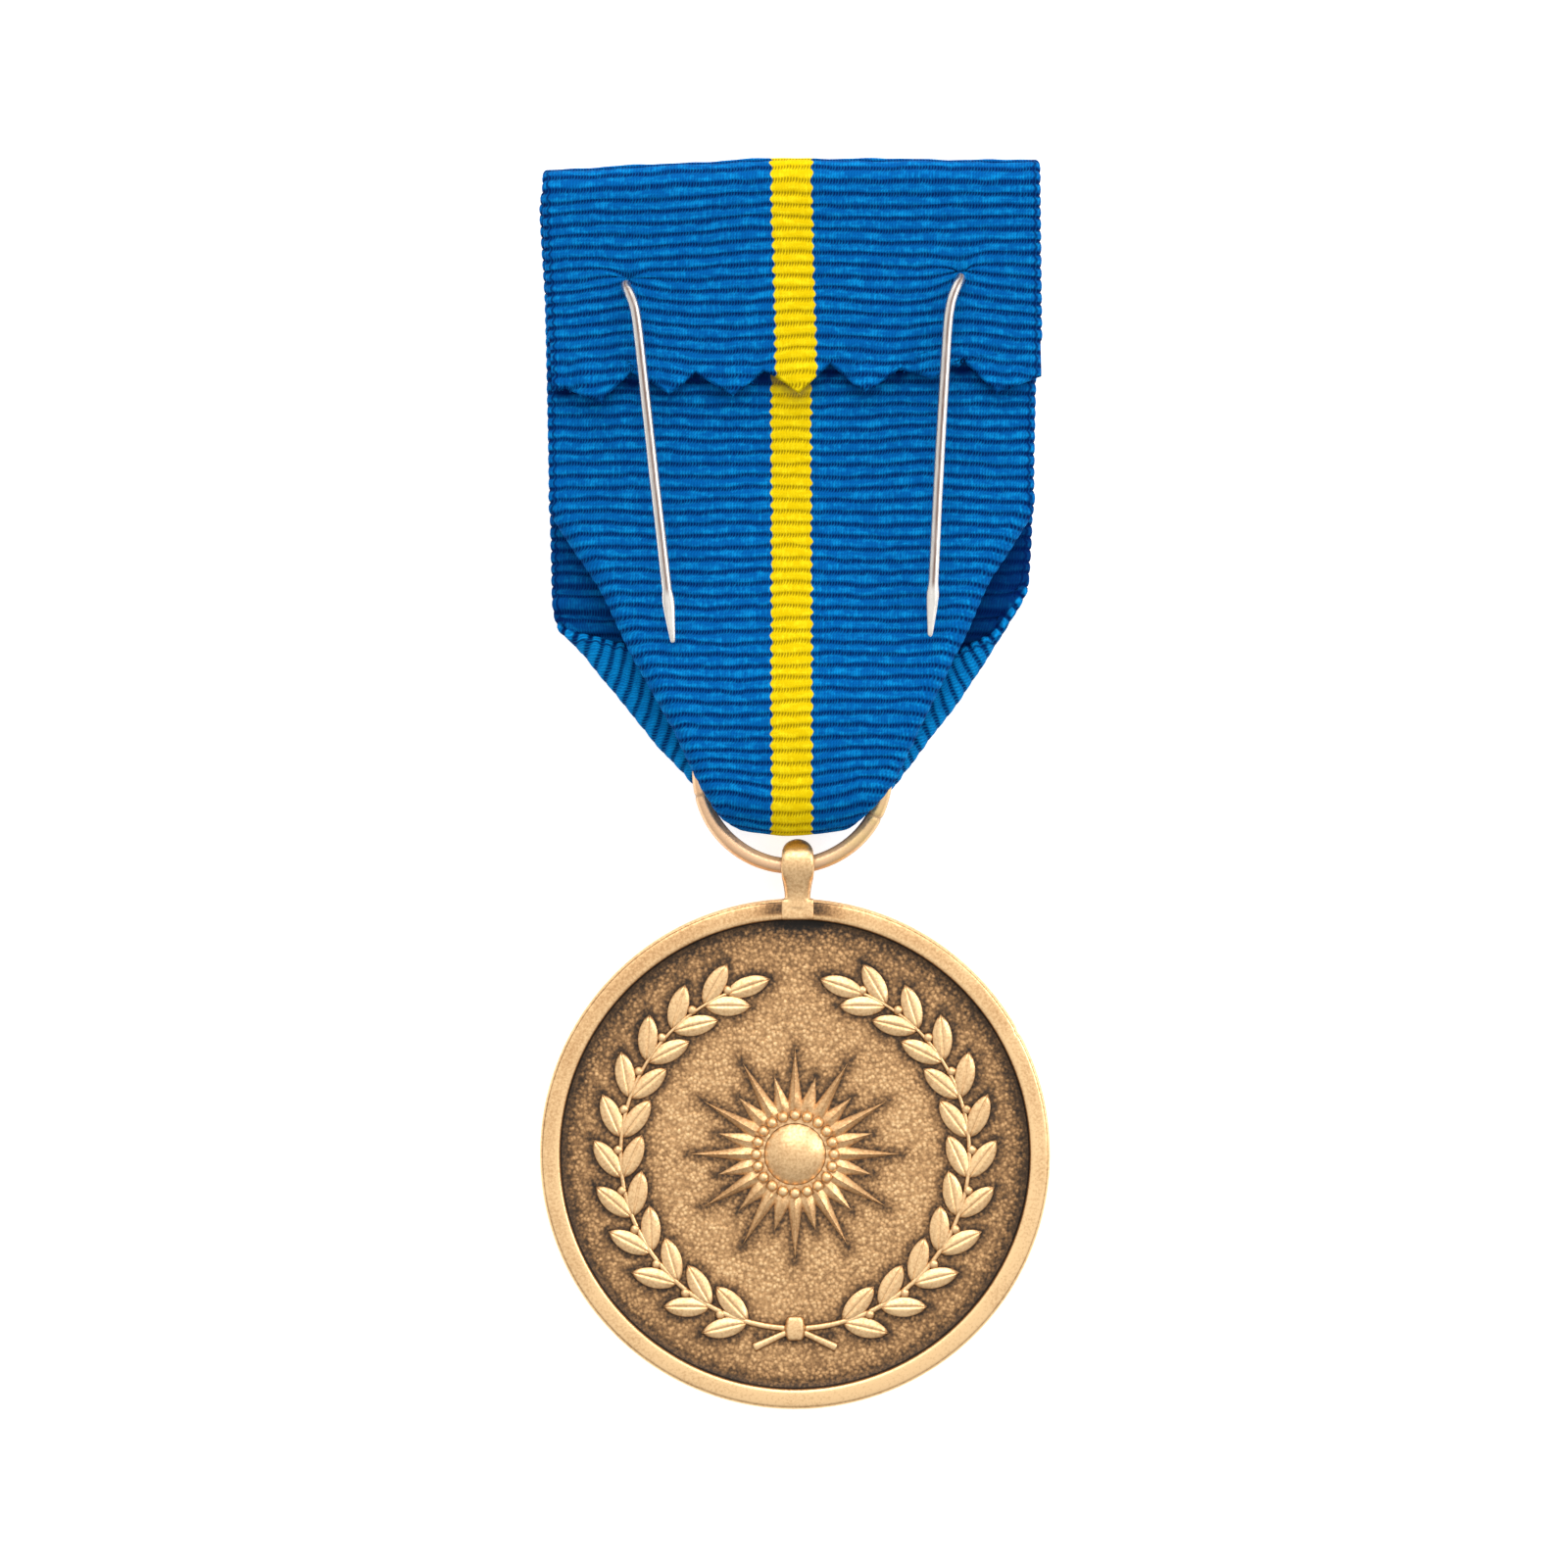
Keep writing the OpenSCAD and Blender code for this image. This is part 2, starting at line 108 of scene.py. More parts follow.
# Ribbon: path of the middle of the cloth, seen from the side
CLOTH_T = 0.92
GROOVE_DEPTH = 0.1
WARP_PITCH = 0.205
BEND_R = 0.56
FRONT_Z = 0.5
BACK_Z = 5.42
FLAP_Z = 3.75
LOOP_Y = -0.68
LOOP_R = (BACK_Z - FRONT_Z) / 2
ROLL_Y = 42.03
ROLL_R = (FLAP_Z - FRONT_Z) / 2
BACK_END_Y = 34.2
TAIL_END_Y = 28.0
FLAP_LIES_Y = 33
PINK_START_Y = 31.2
BACK_LEVELS = ((-9, 5.42), (4.8, 5.42), (8.3, 4.7), (11.8, 3.9), (17.8, 3.0), (21.8, 2.65), (40, 2.65))

# Selvages of each layer before it is folded in: place along the layer, left x, right x
BACK_SELVAGES = ((-9, -17.3, 17.0), (18, -17.2, 16.85), (34.2, -17.45, 17.05))
FRONT_SELVAGES = ((-9, -15.6, 14.3), (10.0, -16.2, 14.9), (11, -16.7, 15.3), (12, -17.0, 15.9),
                  (13, -17.1, 16.3), (14, -17.12, 16.6), (17.2, -17.2, 16.8), (23.4, -17.35, 17.0),
                  (34.5, -17.6, 17.25), (41.4, -18.0, 17.45), (43.0, -17.8, 17.35), (48, -17.7, 17.3))
TAIL_SELVAGES = ((27, -17.04, 17.46), (34.5, -17.35, 17.38), (41.4, -17.66, 17.3), (48, -17.7, 17.3))

# Visible edges of the folds: place along the layer, distance from the middle line
BACK_LEFT = ((-5.4, 3.65), (-4.6, 4.25), (-4, 5.15), (-3.2, 5.45), (-2, 5.95), (-0.4, 6.75), (3.27, 8.2),
             (6.37, 9.97), (9.44, 11.7), (13.76, 13.75), (16.38, 15.57), (18.24, 16.75), (19.49, 17.6),
             (24, 21), (34, 29))
BACK_RIGHT = ((-5.4, 3.6), (-4.6, 4.15), (-4, 5.0), (-3.2, 5.35), (-2, 6.1), (-1.02, 6.85), (0.43, 7.45),
              (3.13, 8.5), (6.58, 10.2), (9.2, 11.45), (10.65, 12.28), (13.93, 13.58), (16.66, 15.31),
              (19, 16.75), (24, 20.3), (34, 28))
FRONT_LEFT = ((-4.6, 4.3), (-3.4, 4.95), (-2.2, 5.8), (-0.67, 7.05), (9.6, 15.34), (10.7, 16.5),
              (11.7, 18.4), (34, 38))
FRONT_RIGHT = ((-4.6, 4.2), (-3.3, 4.9), (-1.77, 6.3), (-0.4, 7.35), (2.71, 9.37), (5.47, 11.58),
               (8.24, 13.38), (11, 15.1), (13.76, 16.85), (34, 30))

# Most cloth that is turned in past a fold
BACK_TUCK = ((-4.6, 1.9), (0, 2.2), (10, 3.2), (40, 3.2))
FRONT_TUCK = ((-4.6, 1.9), (0, 3.0), (4, 4.3), (40, 4.3))

# Each layer: its selvages, the edges of its two folds, and its tucks
LAYERS = {
    "back": (BACK_SELVAGES, (BACK_LEFT, BACK_RIGHT), BACK_TUCK),
    "front": (FRONT_SELVAGES, (FRONT_LEFT, FRONT_RIGHT), FRONT_TUCK),
    "tail": (TAIL_SELVAGES, None, None),
}

# Columns of a layer's grid: in each tuck, in each curl and in the flat part between
TUCK_COLUMNS = 9
CURL_COLUMNS = 10
FLAT_COLUMNS = 67

# Pinked end of the tail: x, y of the corners from left to right
PINKED = ((-17.0, 27.7), (-16.1, 27.95), (-13.54, 26.67), (-11.47, 28.53), (-8.78, 27.22), (-6.92, 28.94),
          (-4.29, 27.43), (-2.08, 29.04), (0.33, 27.43), (2.54, 29.36), (5.03, 27.56), (7.44, 29.22),
          (9.72, 28.18), (11.86, 29.43), (14.28, 27.49), (17.4, 28.87))

# Hollow under each prong: its x at the y in the middle, and its slope
HOLLOW_Y = 24
PRONG_HOLLOWS = ((-9.7, 0.1), (10.2, -0.06))

# Creases of the back layer: x, lowest y and highest y
CREASES = ((-11.1, 19.5, 29.0), (8.7, 17.0, 27.5))

# Holes of the pin in the flap: x, y and the lean of the pull
PIN_HOLES = ((-11.7, 34.75, 0.09), (11.6, 35.25, -0.07))

# UV map of the cloth: one unit is 100 mm, and the middle line and the ribbon's end lie where none is negative
UV_SCALE = 0.01
UV_MIDDLE = 0.5
UV_START = 2.0

# Brooch pin: corners of its wire from the left tip, round the hidden bar, to the right tip
PRONG_LEFT = ((-8.46, 9.82, 6.11), (-8.86, 13.1, 6.0), (-9.79, 21.0, 5.73), (-10.94, 32.1, 5.36),
              (-11.16, 33.5, 5.26), (-11.55, 34.5, 5.0), (-11.76, 34.85, 4.5), (-11.8, 35.4, 2.12))
PRONG_RIGHT = ((11.75, 35.9, 2.12), (11.66, 35.35, 4.5), (11.42, 34.95, 5.0), (11.02, 33.9, 5.26),
               (10.8, 32.6, 5.36), (9.73, 13.55, 6.0), (9.48, 10.26, 6.11))

# Colours that go with those of the settings: bronze by its share of dark, then ring, pin, cloth and floor
DARKER_BRONZE = ((0.3, (0.62, 0.36, 0.165, 1)), (0.55, (0.3, 0.165, 0.075, 1)),
                 (0.78, (0.085, 0.05, 0.028, 1)))
DARKEST_BRONZE = (0.014, 0.01, 0.007, 1)
RING_GOLD = (0.88, 0.65, 0.29, 1)
RING_STAIN = (0.36, 0.2, 0.1, 1)
PIN_SPOT = (0.42, 0.33, 0.27, 1)
# Painted reflection: a dark brown line along the top of the pin's wire
PIN_PAINTED_REFLECTION = (0.1, 0.03, 0.01, 1)
# Lighter blue and yellow for random patches and for painted light: a sheen along the cords and the strips
# past the front layer's folds
SILK_PATCH_AND_PAINTED_LIGHT = ((0.003, 0.27, 0.68, 1), (0.95, 0.76, 0.012, 1))
# Painted shade in the grooves: the dark strokes between the threads
SILK_PAINTED_DASH_SHADE = ((0.0005, 0.012, 0.085, 1), (0.33, 0.22, 0.002, 1))
# Painted shade of the cloth: in the pockets under the back layer, under the pinked edge and on the cut
# threads
SILK_PAINTED_SHADE = (0.0006, 0.01, 0.085, 1)
# Darker yellow for the threads and for painted shade on one side of each cord and in its groove
STRIPE_THREAD_AND_PAINTED_SHADE = (0.69, 0.5, 0.003, 1)
SELVAGE_DARK = (0.0006, 0.012, 0.085, 1)
FLOOR_COLOURS = ((0.64, 0.64, 0.64, 1), (0.67, 0.67, 0.67, 1))

# Stage, in metres: x and y that the camera stands over, and the floor
PICTURE_MIDDLE = (-0.0007, -0.00005)
FLOOR_WIDTH = 6.0


# Shared sums

def unit_rows(v):
    """Each vector of the last axis divided by its length."""
    return v / np.maximum(np.linalg.norm(v, axis=-1, keepdims=True), 1e-12)


def ease(t):
    """Smooth step: 3t^2 - 2t^3 with t held between 0 and 1."""
    t = np.clip(t, 0, 1)
    return t * t * (3 - 2 * t)


def soft_read(table, at, blur, column=1):
    """Value of a short table at each place: the weighted mean of straight-line readings within blur on both
    sides."""
    rows = np.array(table, float)
    total = 0.0
    offsets = np.linspace(-1, 1, 13)
    weights = 1.02 - offsets**2
    for offset, weight in zip(offsets, weights / weights.sum()):
        total = total + weight * np.interp(at + offset * blur, rows[:, 0], rows[:, column])
    return total


def full_turn(steps):
    """Angles of a closed ring of that many steps."""
    return np.linspace(0, 2 * math.pi, steps, endpoint=False)


def squared(a, power):
    """Cosine and sine of an angle, each raised to a power below 1, which turns a circle into a rounded
    square."""
    cos = np.sign(np.cos(a)) * np.abs(np.cos(a)) ** power
    sin = np.sign(np.sin(a)) * np.abs(np.sin(a)) ** power
    return cos, sin


def running_length(line):
    """Length along a line of points from its start to each point."""
    return np.concatenate([[0], np.cumsum(np.linalg.norm(np.diff(line, axis=0), axis=1))])


def grid_quads(rows, cols, close_rows=False, close_cols=False):
    """Quads between neighbouring points of a grid that is counted row by row."""
    r = np.arange(rows if close_rows else rows - 1)[:, None]
    c = np.arange(cols if close_cols else cols - 1)[None, :]
    r_next = (r + 1) % rows
    c_next = (c + 1) % cols
    quads = np.stack([r * cols + c, r * cols + c_next, r_next * cols + c_next, r_next * cols + c], -1)
    return quads.reshape(-1, 4)


def grid_border(rows, cols):
    """Numbers of the border points of a grid, once round: along its first row, then up its last column."""
    along = np.arange(cols - 1)
    up = np.arange(rows - 1)
    return np.concatenate([along, up * cols + cols - 1, rows * cols - 1 - along, (rows - 1 - up) * cols])


def fan(ring, centre):
    """Triangles from each side of a closed ring of point numbers to a centre point."""
    ring = np.asarray(ring)
    return np.stack([ring, np.roll(ring, -1), np.full(len(ring), centre)], -1)


def closed(points, faces, *rings):
    """Points and faces of a shell with each of its open rings closed by a fan to a point in the ring's
    middle."""
    points = points.reshape(-1, 3)
    for ring in rings:
        faces = faces + [fan(ring, len(points))]
        points = np.concatenate([points, points[ring].mean(0, keepdims=True)])
    return points, faces


def closed_rings(points):
    """Shell of rings that rise one inside the other, with a fan in the first and the last."""
    rows, cols = points.shape[:2]
    ring = np.arange(cols)
    return closed(points, [grid_quads(rows, cols, close_cols=True)], ring[::-1], ring + (rows - 1) * cols)


class Surfaces:
    """Collects surfaces of one piece: points, faces and values kept for each point."""

    def __init__(self, *labels):
        self.points = []
        self.faces = []
        self.values = {label: [] for label in labels}
        self.count = 0

    def add(self, points, faces, **values):
        """Adds points, the faces between them and one row of every value for each point."""
        points = np.asarray(points, float).reshape(-1, 3)
        self.points.append(points)
        self.faces += [face + self.count for face in faces]
        for label, kept in self.values.items():
            kept.append(values[label])
        self.count += len(points)

    def mesh(self, name, scale):
        """Mesh of all that was added, with its points scaled and one layer for each value."""
        layers = {label: np.concatenate(kept) for label, kept in self.values.items()}
        return mesh_of(name, np.concatenate(self.points) * scale, self.faces, layers)


def mesh_of(name, points, faces, layers):
    """Mesh of whole arrays: points, faces of three or four corners, a UV map for a pair of values and an
    attribute for a single one."""
    mesh = bpy.data.meshes.new(name)
    sizes = np.concatenate([np.full(len(face), face.shape[1]) for face in faces])
    corners = np.concatenate([face.ravel() for face in faces]).astype(np.int32)
    mesh.vertices.add(len(points))
    mesh.vertices.foreach_set("co", points.astype(np.float32).ravel())
    mesh.loops.add(len(corners))
    mesh.loops.foreach_set("vertex_index", corners)
    mesh.polygons.add(len(sizes))
    mesh.polygons.foreach_set("loop_start", (np.cumsum(sizes) - sizes).astype(np.int32))
    mesh.polygons.foreach_set("use_smooth", np.ones(len(sizes), bool))
    mesh.update(calc_edges=True)
    for label, values in layers.items():
        if values.ndim == 2:
            uv = values[corners].astype(np.float32)
            mesh.uv_layers.new(name=label).data.foreach_set("uv", uv.ravel())
        else:
            keep_value(mesh, label, values)
    if mesh.validate():
        raise RuntimeError(f"{name} has faces that can't stand")
    return mesh


def keep_value(mesh, label, values):
    """Keeps one value for each point in the mesh, for the materials to read."""
    mesh.attributes.new(label, "FLOAT", "POINT").data.foreach_set("value", values.astype(np.float32))


def show(name, mesh, finish, settings, node):
    """Puts the mesh in the scene as a piece that stands for a CAD node, which is hidden, and rides with the
    root body.
    """
    piece = bpy.data.objects.new(name, mesh)
    bpy.context.scene.collection.objects.link(piece)
    mesh.materials.append(material_of(finish, settings))
    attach(piece, "root")
    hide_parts(node)
    return piece


def piece_from(name, surfaces, finish, settings, node):
    """Piece made from collected surfaces."""
    return show(name, surfaces.mesh(name, MM), finish, settings, node)


def point_vectors(mesh, label):
    """A vector of every point of a mesh as one array."""
    values = np.zeros(len(mesh.vertices) * 3, np.float32)
    mesh.vertices.foreach_get(label, values)
    return values.reshape(-1, 3)


def one_skin(name, surfaces, voxel, rounds):
    """Mesh of closed surfaces melted into one skin: voxel remesh, then rounds of smoothing. It is melted in
    millimetres and then set in metres."""
    rough = bpy.data.objects.new(name, surfaces.mesh(name, 1))
    bpy.context.scene.collection.objects.link(rough)
    remesh = rough.modifiers.new("skin", "REMESH")
    remesh.mode = "VOXEL"
    remesh.voxel_size = voxel
    remesh.use_smooth_shade = True
    soften = rough.modifiers.new("soften", "SMOOTH")
    soften.factor = 0.5
    soften.iterations = rounds
    ready = rough.evaluated_get(bpy.context.evaluated_depsgraph_get())
    mesh = bpy.data.meshes.new_from_object(ready)
    bpy.data.objects.remove(rough)
    mesh.vertices.foreach_set("co", (point_vectors(mesh, "co") * MM).ravel())
    mesh.polygons.foreach_set("use_smooth", np.ones(len(mesh.polygons), bool))
    mesh.update()
    return mesh


def swept_tube(line, half_w, half_h, sides, power=1.0, heading=None):
    """Closed tube along a line: at each point a ring side * half_w * cos + over * half_h * sin, square to
    the line or to a given heading, where side is level and over is square to both. Each end is closed by a
    fan."""
    line = np.asarray(line, float)
    along = unit_rows(np.gradient(line, axis=0)) if heading is None else np.broadcast_to(heading, line.shape)
    across = unit_rows(np.cross(along, (0.0, 0.0, 1.0)))
    over = np.cross(across, along)
    cos, sin = squared(full_turn(sides), power)
    rings = (line[:, None] + across[:, None] * (half_w[:, None] * cos)[..., None]
             + over[:, None] * (half_h[:, None] * sin)[..., None])
    count = len(line)
    points = np.concatenate([rings.reshape(-1, 3), line[:1], line[-1:]])
    first = np.arange(sides)
    last = first + (count - 1) * sides
    faces = [grid_quads(count, sides, close_cols=True)[:, ::-1], fan(first, count * sides),
             fan(last[::-1], count * sides + 1)]
    return points, faces


def rounded_line(corners, bend, steps):
    """Line through corners whose turns are parabolas that start and end at bend from each corner."""
    corners = np.array(corners, float)
    t = np.linspace(0, 1, steps)[:, None]
    parts = [corners[:1]]
    for before, at, after in zip(corners[:-2], corners[1:-1], corners[2:]):
        into = at - before
        out = after - at
        a = at - into / np.linalg.norm(into) * min(bend, np.linalg.norm(into) / 2.2)
        b = at + out / np.linalg.norm(out) * min(bend, np.linalg.norm(out) / 2.2)
        parts.append((1 - t) ** 2 * a + 2 * t * (1 - t) * at + t**2 * b)
    parts.append(corners[-1:])
    return np.concatenate(parts)


def even_line(line, step):
    """The same line with points about one step apart, and the length at each point."""
    length = running_length(line)
    at = np.linspace(0, length[-1], max(2, int(length[-1] / step)))
    return np.stack([np.interp(at, length, line[:, k]) for k in range(3)], -1), at


# Node trees

def feed(tree, node, inputs):
    """Links or fills the inputs of a node."""
    for key, value in inputs.items():
        if isinstance(value, bpy.types.NodeSocket):
            tree.links.new(value, node.inputs[key])
        else:
            node.inputs[key].default_value = value


def put(tree, kind, inputs=None, **settings):
    """Adds a node, sets it, and links or fills its inputs."""
    node = tree.nodes.new(kind)
    for key, value in settings.items():
        setattr(node, key, value)
    feed(tree, node, inputs or {})
    return node


def calc(tree, operation, a, b=0.0, c=0.0, clamp=False):
    """Result of one Math node."""
    return put(tree, "ShaderNodeMath", {0: a, 1: b, 2: c}, operation=operation, use_clamp=clamp).outputs[0]


def plus(tree, a, b, clamp=False):
    """a + b, held between 0 and 1 where clamp is set."""
    return calc(tree, "ADD", a, b, clamp=clamp)


def times(tree, a, b):
    """a * b."""
    return calc(tree, "MULTIPLY", a, b)


def scaled(tree, value, factor, shift):
    """value * factor + shift."""
    return calc(tree, "MULTIPLY_ADD", value, factor, shift)


def apart(tree, a, b):
    """Distance between two values."""
    return calc(tree, "ABSOLUTE", calc(tree, "SUBTRACT", a, b))


def spread(tree, value, low, high, new_low=0.0, new_high=1.0, smooth=False):
    """Value mapped from one range to another and held inside it."""
    kind = "SMOOTHSTEP" if smooth else "LINEAR"
    inputs = {"Value": value, "From Min": low, "From Max": high, "To Min": new_low, "To Max": new_high}
    return put(tree, "ShaderNodeMapRange", inputs, interpolation_type=kind).outputs[0]


def blend_colour(tree, share, a, b):
    """Colour between a and b. Inputs 6 and 7 and output 2 of a Mix node are its colours."""
    return put(tree, "ShaderNodeMix", {0: share, 6: a, 7: b}, data_type="RGBA").outputs[2]


def noise(tree, place, scale, detail=2.0, roughness=0.5):
    """Value of a noise texture, about 0.5 in the middle."""
    inputs = {"Vector": place, "Scale": scale, "Detail": detail, "Roughness": roughness}
    return put(tree, "ShaderNodeTexNoise", inputs).outputs[0]


def stretched_noise(tree, across, along, layer, detail, roughness=0.5):
    """Noise of its own layer on the cloth. Across and along are each a value and how often the noise
    repeats in it."""
    place = {0: times(tree, *across), 1: times(tree, *along), 2: layer}
    return noise(tree, put(tree, "ShaderNodeCombineXYZ", place).outputs[0], 1.0, detail, roughness)


def millimetres(tree):
    """The piece's own coordinates in millimetres."""
    place = put(tree, "ShaderNodeTexCoord").outputs["Object"]
    return put(tree, "ShaderNodeVectorMath", {0: place, "Scale": 1 / MM}, operation="SCALE").outputs[0]


def point_value(tree, name):
    """Value kept for each point of the piece."""
    return put(tree, "ShaderNodeAttribute", attribute_name=name).outputs["Fac"]


def bump(tree, height, strength, distance):
    """Normal of a surface raised by a height, at most by distance in metres."""
    inputs = {"Strength": strength, "Distance": distance, "Height": height}
    return put(tree, "ShaderNodeBump", inputs).outputs[0]


def rgb(colour, factor=1.0):
    """A colour of the settings made darker or lighter, as a socket takes it."""
    return tuple(c * factor for c in colour[:3]) + (1.0,)


def new_group(name, inputs, outputs):
    """Empty node group: its tree, its inputs as sockets and its output node. The inputs are values with a
    default, or a vector where that is None, and the outputs are values."""
    tree = bpy.data.node_groups.new(name, "ShaderNodeTree")
    for label, default in inputs.items():
        if default is None:
            tree.interface.new_socket(label, in_out="INPUT", socket_type="NodeSocketVector")
        else:
            socket = tree.interface.new_socket(label, in_out="INPUT", socket_type="NodeSocketFloat")
            socket.default_value = default
    for label in outputs:
        tree.interface.new_socket(label, in_out="OUTPUT", socket_type="NodeSocketFloat")
    return tree, tree.nodes.new("NodeGroupInput").outputs, tree.nodes.new("NodeGroupOutput")


def grain_group():
    """Metal grain: fine and coarse noise give a colour change, a roughness change and a height."""
    tree, given, result = new_group("metal_grain", {"Place": None, "Fine": 5.0, "Coarse": 0.35},
                                    ("Mottle", "Speckle", "Height"))
    fine = noise(tree, given["Place"], given["Fine"], 3.0, 0.6)
    coarse = noise(tree, given["Place"], given["Coarse"], 3.0, 0.55)
    feed(tree, result, {
        "Mottle": spread(tree, coarse, 0.3, 0.7),
        "Speckle": spread(tree, fine, 0.32, 0.68),
        "Height": scaled(tree, fine, 0.7, times(tree, coarse, 0.3)),
    })
    return tree


def weave_group():
    """Corded weave: the place on the cloth gives painted shade on one side of each cord and in its groove,
    one slanted stroke of painted shade for each warp thread, a painted sheen along each cord, the threads
    themselves, uneven patches and a height."""
    tree, given, result = new_group("corded_weave",
                                    {"Across": 0.0, "Along": 0.0, "Pitch": 0.845, "Warp": WARP_PITCH},
                                    ("PaintedGrooveShade", "PaintedDashShade", "PaintedSheen", "Thread", "Patch", "Height"))
    across = given["Across"]
    along = given["Along"]
    place = put(tree, "ShaderNodeCombineXYZ", {0: across, 1: along, 2: 0.0}).outputs[0]
    wander = scaled(tree, noise(tree, place, 0.7, 3.0, 0.6), 0.3, -0.15)
    warp = calc(tree, "DIVIDE", across, given["Warp"])
    saw = scaled(tree, calc(tree, "PINGPONG", times(tree, warp, 2.0), 1.0), 0.12, -0.06)
    cord = plus(tree, calc(tree, "DIVIDE", along, given["Pitch"]), plus(tree, wander, saw))
    share = calc(tree, "FRACT", cord)
    from_groove = calc(tree, "SUBTRACT", calc(tree, "FRACT", plus(tree, cord, 0.5)), 0.5)
    near = calc(tree, "ABSOLUTE", from_groove)
    fleck = stretched_noise(tree, (across, 4.6), (along, 1.3), 0.0, 3.0, 0.6)
    broad = stretched_noise(tree, (across, 0.8), (along, 2.2), 3.0, 2.0)
    streak = stretched_noise(tree, (across, 0.35), (along, 1.2), 7.0, 2.0)
    slant = plus(tree, warp, times(tree, from_groove, 1.2))
    wave = calc(tree, "COSINE", times(tree, scaled(tree, fleck, 0.7, slant), 2 * math.pi))
    thread = scaled(tree, wave, -0.5, 0.5)
    # Painted shade in the groove: one dark stroke for each warp thread
    painted_dash_shade = times(tree, spread(tree, near, 0.12, 0.33, 1.0, 0.0, smooth=True),
                 spread(tree, wave, -0.3, 0.45, 0.06, 1.0, smooth=True))
    # Painted shade: darker over the last part of each cord and just past its groove, as if the light came
    # from one side
    lower = spread(tree, share, 0.6, 1.0, 0.0, 1.0, smooth=True)
    upper = spread(tree, share, 0.0, 0.26, 1.0, 0.0, smooth=True)
    groove = calc(tree, "MAXIMUM", times(tree, lower, 0.9), upper)
    # Painted sheen: a bright line along each cord, broken into streaks
    line = spread(tree, apart(tree, share, 0.6), 0.02, 0.1, 1.0, 0.0, smooth=True)
    painted_sheen = times(tree, line, spread(tree, streak, 0.42, 0.6))
    height = plus(tree, times(tree, thread, 0.5), times(tree, painted_sheen, 0.5))
    feed(tree, result, {
        "PaintedGrooveShade": groove,
        "PaintedDashShade": painted_dash_shade,
        "PaintedSheen": painted_sheen,
        "Thread": thread,
        "Patch": scaled(tree, fleck, 0.45, times(tree, broad, 0.55)),
        "Height": calc(tree, "SUBTRACT", height, times(tree, groove, 0.8)),
    })
    return tree


GROUPS = {"metal_grain": grain_group, "corded_weave": weave_group}


def use_group(tree, name, inputs):
    """Outputs of a shared node group placed in a tree. The group is made when it is first used."""
    group = bpy.data.node_groups.get(name) or GROUPS[name]()
    return put(tree, "ShaderNodeGroup", inputs, node_tree=group).outputs


# Materials: each finish gives the inputs of its shader

def bronze_finish(tree, settings):
    """Antique bronze: bright on what stands proud and nearly black where the patina attribute is high. That
    attribute also carries painted shade and light in places.
    """
    place = millimetres(tree)
    grain = use_group(tree, "metal_grain", {"Place": place, "Fine": 5.0, "Coarse": 0.3})
    pebbled = point_value(tree, "pebbled")
    cells = put(tree, "ShaderNodeTexVoronoi", {"Vector": place, "Scale": 3.5, "Randomness": 0.9})
    dome = spread(tree, cells.outputs["Distance"], 0.05, 0.75, 1.0, 0.0, smooth=True)
    pits = times(tree, pebbled, scaled(tree, dome, -0.34, 0.16))
    mottled = plus(tree, point_value(tree, "patina"), scaled(tree, grain["Mottle"], 0.12, -0.06))
    speckled = plus(tree, mottled, scaled(tree, grain["Speckle"], 0.26, -0.13))
    dark = plus(tree, speckled, pits, clamp=True)
    ramp = put(tree, "ShaderNodeValToRGB", {0: dark})
    marks = ramp.color_ramp.elements
    marks[0].color = rgb(settings.bronze_colour)
    marks[1].color = DARKEST_BRONZE
    for position, colour in DARKER_BRONZE:
        marks.new(position).color = colour
    return {
        "Base Color": ramp.outputs["Color"],
        "Roughness": spread(tree, dark, 0.0, 1.0, 0.34, 0.6),
        "Metallic": spread(tree, dark, 0.55, 1.0, 0.95, 0.5),
        "Normal": bump(tree, scaled(tree, times(tree, pebbled, dome), 1.4, grain["Height"]), 0.4, 0.04 * MM),
    }


def copper_finish(tree, settings):
    """Ring metal: pinkish bronze, golden on its right side, with brown stain where the patina attribute is
    high."""
    place = millimetres(tree)
    grain = use_group(tree, "metal_grain", {"Place": place, "Fine": 7.0, "Coarse": 0.6})
    dark = plus(tree, point_value(tree, "patina"), scaled(tree, grain["Speckle"], 0.24, -0.12), clamp=True)
    side = put(tree, "ShaderNodeSeparateXYZ", {0: place}).outputs[0]
    gold = times(tree, spread(tree, side, 0.5, 3.5), grain["Mottle"])
    metal = blend_colour(tree, gold, rgb(settings.ring_colour), RING_GOLD)
    return {
        "Base Color": blend_colour(tree, dark, metal, RING_STAIN),
        "Roughness": spread(tree, grain["Speckle"], 0.0, 1.0, 0.32, 0.46),
        "Metallic": spread(tree, dark, 0.1, 0.5, 1.0, 0.05),
        "Normal": bump(tree, grain["Height"], 0.25, 0.03 * MM),
    }


